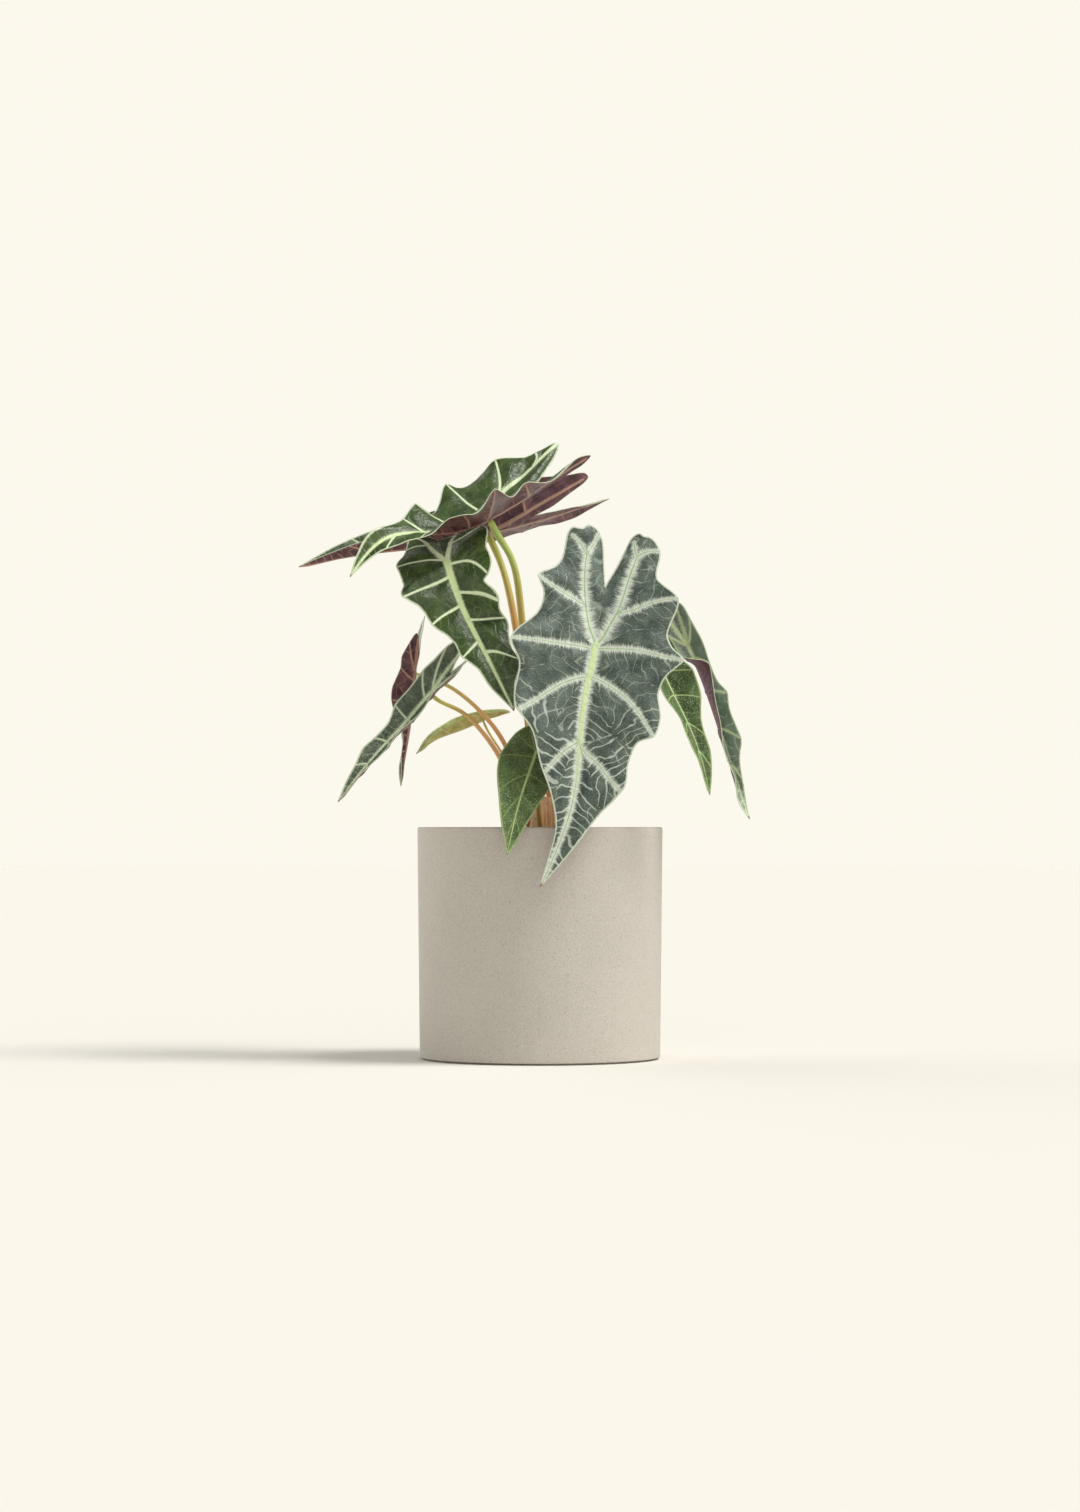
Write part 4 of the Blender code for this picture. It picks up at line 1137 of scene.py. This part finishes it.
def upper_skin(leaf: Leaf) -> bpy.types.Material:
    """The upper face: a clouded lamina, a fine net, veins with feathered bands and cores, and a pale rim.

    Args:
        leaf: The leaf.

    Returns:
        The material.
    """
    look = leaf.finish
    g = Paint("upper_" + leaf.name, look.gloss)
    plan = g.read("plan", True)
    off, run, signed, taper = map(g.read, ("off", "run", "signed", "taper"))
    spine, rim, tip = map(g.read, ("spine", "rim", "tip"))
    cloud = g.band(g.noise(plan, .9, 4), .32, .68)
    grain = g.band(g.noise(plan, 14.0, 2), .3, .7)
    colour = g.mix(cloud * .7 + grain * .3, look.deep, look.pale)
    low = g.band(tip, .12, .42)
    net = net_lines(g, plan, off, run, low)
    colour = g.mix(net * (low * (look.net_share * .5) + look.net_share * .5), colour, look.net)

    hair = g.band(g.noise(g.pair(run * 1.9, off * .16), 1.0, 3), .34, .68) * .8
    width = (1.0 - tip * .8) * look.spine_width
    beside_midrib = (spine - width * .75) / ((1.0 - tip * .5) * look.halo_width)
    beside_vein = off / (taper * look.halo_width)
    halo = g.highest(*(g.band(away - hair, 1.2, -.2) for away in (beside_vein, beside_midrib)))
    colour = g.mix(halo * look.halo_share, colour, look.halo)

    sharp = g.math("ABSOLUTE", signed) / taper
    core = g.band(sharp, look.core_width * 1.5, look.core_width * .7) * g.band(off, 3.4, 2.4)
    colour = g.mix(core, colour, look.core)
    stem = g.band(spine / width, 1.15, .7) * g.band(tip, look.fade, look.fade - .45)
    colour = g.mix(stem, colour, look.spine)
    line = g.band(rim + g.noise(plan, 4.0, 1) * .5, 1.2, .65)
    colour = g.mix(line * .85, colour, look.rim)
    colour = g.mix(g.band(tip, .975, .995), colour, TIP_BROWN)
    if look.specks:
        colour = g.mix(g.band(g.noise(plan, 13.0, 1), .63, .69) * look.specks, colour, SPECK_WHITE)
    relief = net * -.4 + g.noise(plan, 30.0, 3) * .3 + g.noise(plan, 2.4, 2) * 1.6
    relief = relief + g.highest(core, stem) * .5
    return g.finish(colour, relief, SKIN_DEPTH, g.noise(plan, 5.0, 3) * .16 + (look.gloss - .06))


def under_skin(leaf: Leaf) -> bpy.types.Material:
    """The under face: a clouded purple or olive ground, a raised net and tan veins.

    Args:
        leaf: The leaf.

    Returns:
        The material.
    """
    look = leaf.finish
    g = Paint("under_" + leaf.name, look.under_gloss)
    plan = g.read("plan", True)
    off, run, taper, spine, tip = map(g.read, ("off", "run", "taper", "spine", "tip"))
    colour = g.mix(g.band(g.noise(plan, 1.1, 4), .3, .7), look.under_deep, look.under_pale)
    net = net_lines(g, plan, off, run, g.band(tip, .12, .42))
    colour = g.mix(net * .4, colour, look.under_vein)
    vein = g.highest(g.band(off / taper, 1.2, .5), g.band(spine / (1.0 - tip * .6), 2.1, 1.2))
    colour = g.mix(vein * .7, colour, look.under_vein)
    relief = net * .5 + g.noise(plan, 26.0, 3) * .3 + g.noise(plan, 2.4, 2) * 1.6
    return g.finish(colour, relief, SKIN_DEPTH, g.noise(plan, 6.0, 3) * .2 + (look.under_gloss - .08))


def tube(path: np.ndarray, radii: np.ndarray, sides: int, flute: float = 0.0) -> np.ndarray:
    """Rings of points round a path.

    Each ring is a circle square to the path, its radius times 1 + flute times the cosine of three turns.

    Args:
        path: Points of the axis.
        radii: The radius at each.
        sides: Points round it.
        flute: Depth of the three flutes, as a share of the radius.

    Returns:
        Rings by sides of points.
    """
    heading = unit(np.gradient(path, axis=0))
    across = unit(np.cross(heading, (0.3, 1.0, 0.1)))
    up = np.cross(across, heading)
    turn = turns(sides)
    size = radii[:, None] * (1 + flute * np.cos(3 * turn))[None]
    return path[:, None] + size[..., None] * (np.cos(turn)[None, :, None] * across[:, None]
                                              + np.sin(turn)[None, :, None] * up[:, None])


def closed_tube(rings: np.ndarray, start: tuple, end: tuple) -> Shape:
    """A tube's rings with a pole at either end, as a closed shape that faces outwards.

    Args:
        rings: Rings by sides of points.
        start: The pole before the first ring.
        end: The pole after the last.

    Returns:
        The closed shape.
    """
    count, sides, _ = rings.shape
    index = np.arange(count * sides).reshape(count, sides)
    first = np.full((1, sides), count * sides)
    faces = tidy_faces(grid_faces(np.concatenate((first, index, first + 1)), closed=True))
    points = np.concatenate((rings.reshape(-1, 3), (start, end)))
    a, b, c = (points[faces[:, k]] for k in range(3))
    if np.einsum("ij,ij->", a - rings[0].mean(0), np.cross(b - a, c - a)) < 0:
        faces = tidy_faces(faces[:, ::-1])
    return Shape(points, faces)


@dataclass
class Stalk:
    """A leaf stalk: a round tube from the crown up into the blade's midrib.

    Attributes:
        leaf: The leaf that it carries.
        rings: Rings along it.
        sides: Points round it.
        approach: How far under the blade it turns square to it, in millimetres.
        sunk: How far under the blade's middle it ends, in millimetres.
        swelling: How much thicker its last part is.
        slim: Its radius as a share of the solid's.
    """

    leaf: Leaf
    rings: int = 90
    sides: int = 20
    approach: float = 8.0
    sunk: float = .3
    swelling: float = .12
    slim: float = .8

    def path(self) -> np.ndarray:
        """Its axis: a smooth curve through the leaf's stalk points and two under the joint.

        Returns:
            Points of the axis.
        """
        midrib = Midrib(self.leaf)
        joint = midrib.frame(np.zeros(1))[0][0]
        down = -midrib.joint_normal()
        lean = unit(.35 * down + .65 * unit(np.array(self.leaf.stalk[-1]) - joint))
        points = [*self.leaf.stalk, joint + lean * self.approach, joint + down * self.sunk]
        return through(points, np.linspace(0, 1, self.rings))

    def build(self) -> bpy.types.Object:
        """Make the stalk in place of its node; its radius falls evenly and swells over the last tenth.

        Returns:
            The stalk.
        """
        path = self.path()
        share = np.linspace(0, 1, self.rings)
        foot, top = self.leaf.radii
        radii = self.slim * (foot + (top - foot) * share) * (1 + self.swelling * hump(share - .96, .05))
        radii *= 1 + .012 * np.sin(share * 31 + foot)
        radii[-1] *= .6
        shape = closed_tube(tube(path, radii, self.sides, .02), path[0], path[-1])
        turn = np.tile(turns(self.sides) / (2 * np.pi), self.rings)
        shape.readings = {"along": np.concatenate((np.repeat(share, self.sides), (0, 1))),
                          "round": np.concatenate((turn, (0, 0)))}
        skin = self.dress(float(run_of(path)[-1]))
        return shape.make("stem_" + self.leaf.name, [skin], "stalk_skin", "stalk_" + self.leaf.name, 70.0)

    def dress(self, length: float) -> bpy.types.Material:
        """Foot, middle and top colours run into each other, with fine streaks lengthwise and small dashes.

        Args:
            length: The stalk's length in millimetres.

        Returns:
            The material.
        """
        g = Paint("stalk_" + self.leaf.name, .42)
        along, turn = g.read("along"), g.read("round")
        foot, middle, top = self.leaf.skin
        streak = g.noise(g.pair(along * (length * .035), turn * 30.0), 1.0, 4)
        slide = along + (streak - .5) * .25
        colour = g.mix(g.band(slide, .1, .62), foot, middle)
        colour = g.mix(g.band(slide, .6, .97), colour, top)
        dash = g.band(g.noise(g.pair(along * (length * .22), turn * 14.0), 1.0, 2), .6, .72)
        colour = g.mix(dash * .4, colour, tuple(.72 * part for part in foot))
        colour = g.mix(g.band(streak, .55, .8) * .3, colour, (226, 206, 150))
        return g.finish(colour, streak + g.noise(g.place(), 900.0, 3) * .4, .00018)


@dataclass
class Crown:
    """The stem base: fused stalk sheaths, four-lobed across, with fine ridges and two ragged old edges.

    Attributes:
        centre: Its axis in plan.
        radius: Its mean radius.
        lobe: Height of its four lobes.
        turned: Where the first lobe points, in degrees.
        rings: Pairs of height and share of the radius.
        sides: Points round it.
        levels: Rings up it.
    """

    centre: tuple = (3.0, 0.0)
    radius: float = 11.4
    lobe: float = 1.0
    turned: float = 50.0
    rings: tuple = ((126.0, .70), (129.0, .86), (136.0, .97), (146.0, 1.02), (158.0, 1.0), (166.0, .97),
                    (169.5, .93), (170.5, .88))
    sides: int = 160
    levels: int = 110

    def build(self) -> bpy.types.Object:
        """Make the crown: radius by height times lobes, with ridges and steps where old sheaths end.

        Returns:
            The crown.
        """
        table = np.array(self.rings)
        height = np.interp(np.linspace(0, 1, self.levels), np.linspace(0, 1, len(table)), table[:, 0])
        height = smoothed(height, 4)
        height[0], height[-1] = table[0, 0], table[-1, 0]
        scale = smoothed(np.interp(height, table[:, 0], table[:, 1]), 5)
        turn = turns(self.sides)
        lobes = self.radius + self.lobe * np.cos(4 * (turn - np.radians(self.turned)))
        level = height[:, None]
        first = 149 + 2.4 * np.sin(turn * 2 + 1) + .9 * np.sin(turn * 7)
        second = 160 + 3.0 * np.sin(turn + 2) + .7 * np.sin(turn * 9 + 1)
        step = sum(depth / (1 + np.exp(np.clip((level - edge) * 5, -40, 40)))
                   for depth, edge in ((.45, first), (.4, second)))
        ridges = .1 * np.sin(turn * 24 + level * .12) + .07 * np.sin(turn * 41 - level * .2)
        size = lobes[None] * scale[:, None] + step - .55 + ridges
        rings = np.stack((self.centre[0] + size * np.cos(turn), self.centre[1] + size * np.sin(turn),
                          np.broadcast_to(level, size.shape)), -1)
        shape = closed_tube(rings, (*self.centre, height[0]), (*self.centre, height[-1] + .6))
        return shape.make("stem_base", [self.dress()], "crown_sheath", "crown", 40.0)

    def dress(self) -> bpy.types.Material:
        """Orange-tan sheath skin, pinkish in long streaks, darker low down and speckled brown.

        Returns:
            The material.
        """
        g = Paint("sheath_skin", .5)
        place = g.place()
        long = g.noise(g.scaled(place, (420.0, 420.0, 45.0)), 1.0, 4)
        blush = g.noise(g.scaled(place, (160.0, 160.0, 30.0)), 1.0, 2)
        height = g.add("SeparateXYZ", place, out=2)
        colour = g.mix(g.band(long, .35, .65), (252, 200, 140), (255, 234, 188))
        colour = g.mix(g.band(blush, .5, .7) * .6, colour, (246, 170, 132))
        colour = g.mix(g.band(g.noise(place, 700.0, 2), .66, .74) * .7, colour, (120, 74, 44))
        colour = g.mix(g.band(height, .152, .139) * .45, colour, (150, 100, 60))
        return g.finish(colour, long + g.noise(place, 1200.0, 3) * .3, .0003)


@dataclass
class Pot:
    """The turned clay pot: straight wall, rounded lip, thin foot step.

    Attributes:
        height: Height of the lip.
        rim: Outer radius at the lip.
        base: Outer radius over the foot.
        wall: Thickness of the wall.
        floor: Height of its inside.
        lip: Radius of the lip's rounding.
        foot: Radius of the flat foot.
        foot_height: Height of the step under the wall.
        sides: Points round it.
    """

    height: float = 151.0
    rim: float = 80.0
    base: float = 78.4
    wall: float = 5.0
    floor: float = 7.0
    lip: float = 1.3
    foot: float = 74.0
    foot_height: float = 1.2
    sides: int = 240

    def profile(self) -> np.ndarray:
        """Radius and height from under the foot, up the outside, over the lip and down to the floor.

        Returns:
            Points as (radius, height).
        """
        turn = np.linspace(0, np.pi / 2, 7)
        drop, top = self.lip * (1 - np.cos(turn)), self.height - self.lip * (1 - np.sin(turn))
        inner = self.rim - self.wall
        out, back = np.stack((self.rim - drop, top), -1), np.stack((inner + drop, top), -1)[::-1]
        bevel = np.stack((self.base - .8 * (1 - np.sin(turn)),
                          self.foot_height + .6 * (1 - np.cos(turn))), -1)
        wall = bevel[-1] + np.linspace(0, 1, 40)[1:-1, None] * (out[0] - bevel[-1])
        spread = np.linspace(0, 1, 12)[1:, None]
        under = spread * (self.foot, 0)
        corner = np.array((inner, self.floor))
        inside = back[-1] + np.linspace(0, 1, 20)[1:, None] * (corner - back[-1])
        ground = corner * (1 - spread[:-1]) + spread[:-1] * (0, self.floor)
        step = [(self.foot, self.foot_height)]
        return np.concatenate((under, step, bevel, wall, out, back, inside, ground))

    def build(self) -> bpy.types.Object:
        """Make the pot by turning its profile, with the hand-thrown wall a few hundredths out of true.

        Returns:
            The pot.
        """
        radius, height = self.profile().T[..., None]
        turn = turns(self.sides)
        sway = .06 * np.sin(height / 9) * np.cos(turn * 2 + 1) + .05 * np.sin(height / 4.3)
        size = radius - np.abs(sway * ((radius > self.base - .5) & (height > 6)))
        rings = np.stack((size * np.cos(turn), size * np.sin(turn), np.broadcast_to(height, size.shape)), -1)
        shape = closed_tube(rings, (0, 0, 0), (0, 0, self.floor))
        return shape.make("clay_pot", [self.dress()], "pot_clay", "pot", 35.0)

    def dress(self) -> bpy.types.Material:
        """Matt beige-grey stoneware: fine pale and dark grains, faint clouds and faint turning lines.

        Returns:
            The material.
        """
        g = Paint("stoneware", .82)
        place = g.place()
        cloud = g.noise(place, 22.0, 4)
        fine = g.noise(place, 1100.0, 3)
        lines = g.noise(g.scaled(place, (6.0, 6.0, 420.0)), 1.0, 2)
        colour = g.mix(g.band(cloud, .35, .65), (193, 187, 176), (197, 191, 180))
        colour = g.mix(g.band(fine, .5, .64) * .55, colour, (212, 206, 195))
        colour = g.mix(g.band(g.noise(place, 760.0, 2), .58, .7) * .45, colour, (160, 153, 141))
        return g.finish(colour, fine * .9 + lines * .25, .00028, cloud * .14 + .8)


@dataclass
class Soil:
    """The potting mix: a heaped crumbly surface and loose lumps of bark, grit and pumice on it.

    Attributes:
        radius: Its radius inside the pot.
        edge: Its height at the wall.
        centre: Its height in the middle.
        floor: Height of its underside.
        rings: Rings from the middle out.
        sides: Points round it.
        lumps: Number of loose pieces.
    """

    radius: float = 74.6
    edge: float = 138.0
    centre: float = 141.5
    floor: float = 7.3
    rings: int = 110
    sides: int = 220
    lumps: int = 900

    def heap(self, places: np.ndarray) -> np.ndarray:
        """Height of the surface: a shallow dome plus crumbs of two sizes, flattened to the wall.

        Args:
            places: Points in plan.

        Returns:
            A height for each.
        """
        away = np.linalg.norm(places, axis=-1) / self.radius
        crumbs = 1.0 * waves(places, 3, 13.0, 8) + .5 * waves(places, 4, 4.5, 6)
        return (self.edge + (self.centre - self.edge) * (1 - away ** 2)
                + (crumbs - .4) * np.clip((1.02 - away) / .1, 0, 1))

    def build(self) -> list[bpy.types.Object]:
        """Make the mix in place of the soil's node, and its loose pieces.

        Returns:
            Both objects.
        """
        turn = turns(self.sides)
        ring = np.stack((np.cos(turn), np.sin(turn)), -1)
        share = np.linspace(1, 0, self.rings)[:-1] ** .9
        flat = share[:, None, None] * self.radius * ring[None]
        top = np.concatenate((flat, self.heap(flat)[..., None]), -1)
        low = np.concatenate((self.radius * ring, np.full((self.sides, 1), self.floor)), -1)[None]
        shape = closed_tube(np.concatenate((low, top)), (0, 0, self.floor), (0, 0, self.heap(np.zeros(2))))
        mix = shape.make("potting_mix", [self.dress()], "soil_earth", "soil")
        return [mix, self.pieces()]

    def pieces(self) -> bpy.types.Object:
        """Loose lumps: a round body of twelve corners each, stretched, turned and roughened at random.

        Returns:
            All lumps as one object.
        """
        dice = np.random.default_rng(12)
        golden = (1 + 5 ** .5) / 2
        signs = [(a, b * golden) for a in (-1, 1) for b in (-1, 1)]
        corners = unit(np.array([(0, a, b) for a, b in signs] + [(a, b, 0) for a, b in signs]
                                + [(b * golden, 0, a) for a in (-1, 1) for b in (-1, 1)]))
        gaps = np.linalg.norm(corners[:, None] - corners[None], axis=-1)
        near = (gaps > 0) & (gaps < 1.2)
        body = np.array([(a, b, c, c) for a, b, c in combinations(range(12), 3)
                         if near[a, b] and near[b, c] and near[a, c]])
        a, b, c = (corners[body[:, k]] for k in range(3))
        inward = np.einsum("ij,ij->i", np.cross(b - a, c - a), a) < 0
        body[inward] = body[inward][:, [0, 2, 1, 1]]
        away = (self.radius - 2.5) * np.sqrt(dice.uniform(.045, 1, self.lumps))
        turn = dice.uniform(0, 2 * np.pi, self.lumps)
        flat = np.stack((away * np.cos(turn), away * np.sin(turn)), -1)
        size = dice.uniform(.7, 1.6, (self.lumps, 1, 1))
        size = size * dice.uniform(.6, 1.5, (self.lumps, 1, 3)) * (1, 1, .7)
        spin = unit(dice.normal(size=(self.lumps, 3)))
        other = unit(np.cross(spin, dice.normal(size=(self.lumps, 3))))
        axes = np.stack((spin, other, np.cross(spin, other)), 1)
        rough = corners[None] * dice.uniform(.8, 1.2, (self.lumps, 12, 1))
        bodies = np.einsum("nij,njk->nik", rough, axes) * size
        bodies += np.concatenate((flat, self.heap(flat)[:, None] + .35), 1)[:, None]
        faces = (body[None] + 12 * np.arange(self.lumps)[:, None, None]).reshape(-1, 4)
        tone = np.repeat(dice.uniform(0, 1, self.lumps), 12)
        shape = Shape(bodies.reshape(-1, 3), faces, None, {"tone": tone})
        return shape.make("loose_bark", [self.dress_pieces()], "soil_earth", sharp=20.0)

    def dress(self) -> bpy.types.Material:
        """Dark brown fibrous mix with lighter crumbs.

        Returns:
            The material.
        """
        g = Paint("potting_mix_skin", .95)
        place = g.place()
        crumb = g.noise(place, 260.0, 5)
        fibre = g.noise(g.scaled(place, (900.0, 160.0, 300.0)), 1.0, 3)
        colour = g.mix(g.band(crumb, .35, .7), (34, 25, 19), (84, 64, 47))
        colour = g.mix(g.band(fibre, .6, .7) * .5, colour, (120, 92, 62))
        return g.finish(colour, crumb + fibre, .0012)

    def dress_pieces(self) -> bpy.types.Material:
        """Bark browns, with every eighth piece a pale pumice grain.

        Returns:
            The material.
        """
        g = Paint("loose_bark_skin", .9)
        tone = g.read("tone")
        grain = g.noise(g.place(), 1500.0, 3)
        colour = g.mix(g.band(tone, .1, .8), (44, 31, 23), (104, 74, 50))
        colour = g.mix(g.band(tone, .87, .88), colour, (206, 202, 192))
        colour = g.mix(g.band(grain, .5, .7) * .4, colour, (60, 44, 32))
        return g.finish(colour, grain, .0005)


@dataclass
class Studio:
    """A pale floor that runs into the background, soft daylight from the right, and the camera.

    Attributes:
        cream: Screen colour of the background.
        floor_shade: Reflectance of the floor in red, green and blue.
        floor_half: Half the floor's width in metres.
        sun: Power of the soft sun.
        sun_size: Its width in degrees.
        sun_rise: Its height over the floor, in degrees.
        sun_side: Its direction round the pot, in degrees from the right towards the viewer.
        sky: Brightness of the light from all round.
        sky_turn: How far the sky's axis, from rear left to front right, is turned from the side, in degrees.
        sky_bands: Pairs of place along that axis, 0 to 1, and brightness there.
        eye: The camera's place in millimetres.
        tilt: How far the camera looks up, in degrees.
        lens: Focal length for a 36 mm wide sensor on the long side.
    """

    cream: tuple = (252, 248, 237)
    floor_shade: tuple = (.85, .828, .762)
    floor_half: float = 12.0
    sun: float = 2.05
    sun_size: float = 24.0
    sun_rise: float = 57.0
    sun_side: float = 17.0
    sky: float = .72
    sky_turn: float = 34.0
    sky_bands: tuple = ((0.0, 3.4), (.1, 2.1), (.2, .5), (.42, .26), (.65, .8), (1.0, 1.35))
    eye: tuple = (0.0, -2547.0, 151.0)
    tilt: float = 1.043
    lens: float = 92.857

    def floor(self) -> None:
        """A flat floor in the background's tint."""
        mesh = bpy.data.meshes.new("pale_floor")
        half = self.floor_half
        mesh.from_pydata([(-half, -half, 0), (half, -half, 0), (half, half, 0), (-half, half, 0)], [],
                         [(0, 1, 2, 3)])
        g = Paint("floor_paint", 1.0)
        g.shader["Specular IOR Level"].default_value = 0.0
        g.shader["Base Color"].default_value = (*self.floor_shade, 1)
        mesh.materials.append(g.material)
        link("pale_floor", mesh)

    def light(self) -> None:
        """The soft sun, and a world that is cream to the camera and a soft sky to all else."""
        sun = bpy.data.lights.new("window_sun", "SUN")
        sun.energy = self.sun
        sun.angle = np.radians(self.sun_size)
        sun.color = (1.0, .985, .96)
        side, rise = np.radians(self.sun_side), np.radians(self.sun_rise)
        link("window_sun", sun).rotation_euler = (0.0, float(np.pi / 2 - rise), float(-side))
        world = bpy.data.worlds.new("soft_room")
        bpy.context.scene.world = world
        world.use_nodes = True
        g = Graph(world.node_tree)
        g.nodes.clear()
        turned = np.radians(self.sky_turn)
        axis = (float(np.cos(turned)), float(-np.sin(turned)), 0.0)
        way = g.add("TexCoord", out="Generated")
        along = g.add("VectorMath", way, axis, out="Value", operation="DOT_PRODUCT")
        sky = g.add("ValToRGB", g.math("MULTIPLY_ADD", along, .5, .5))
        stops = sky.socket.node.color_ramp.elements
        while len(stops) < len(self.sky_bands):
            stops.new(.5)
        for stop, (position, level) in zip(stops, self.sky_bands):
            stop.position = position
            stop.color = (level, level * .99, level * .97, 1)
        lit = g.add("Background", sky, self.sky)
        seen = g.add("Background", screen(self.cream))
        choice = g.add("MixShader", g.add("LightPath", out="Is Camera Ray"), lit, seen)
        g.feed(g.nodes.new("ShaderNodeOutputWorld").inputs[0], choice)

    def camera(self) -> None:
        """The camera at the photograph's place and angle, its long side upright."""
        lens = bpy.data.cameras.new("eye")
        lens.lens = self.lens
        lens.sensor_width = 36.0
        lens.clip_end = 60.0
        eye = link("eye", lens)
        eye.location = [part * MM for part in self.eye]
        eye.rotation_euler = (float(np.radians(90 + self.tilt)), 0.0, 0.0)
        bpy.context.scene.camera = eye

    def build(self) -> None:
        """Set up the floor, the light and the camera, with plain display of colours."""
        bpy.context.scene.view_settings.view_transform = "Standard"
        bpy.context.scene.view_settings.look = "None"
        self.floor()
        self.light()
        self.camera()


def main() -> None:
    """Build the studio and every piece of the plant."""
    logging.basicConfig(level=logging.INFO, format="%(name)s: %(message)s")
    Studio().build()
    Pot().build()
    Soil().build()
    Crown().build()
    for leaf in LEAVES:
        Stalk(leaf).build()
        if leaf.plan is GROWN:
            Blade(leaf, quilt=.9 if leaf.finish is FRONT_GREY else 1.9).build()
        else:
            Blade(leaf, rows=200, columns=26, quilt=.35, quilt_width=3.5).build()


if __name__ == "__main__":
    main()
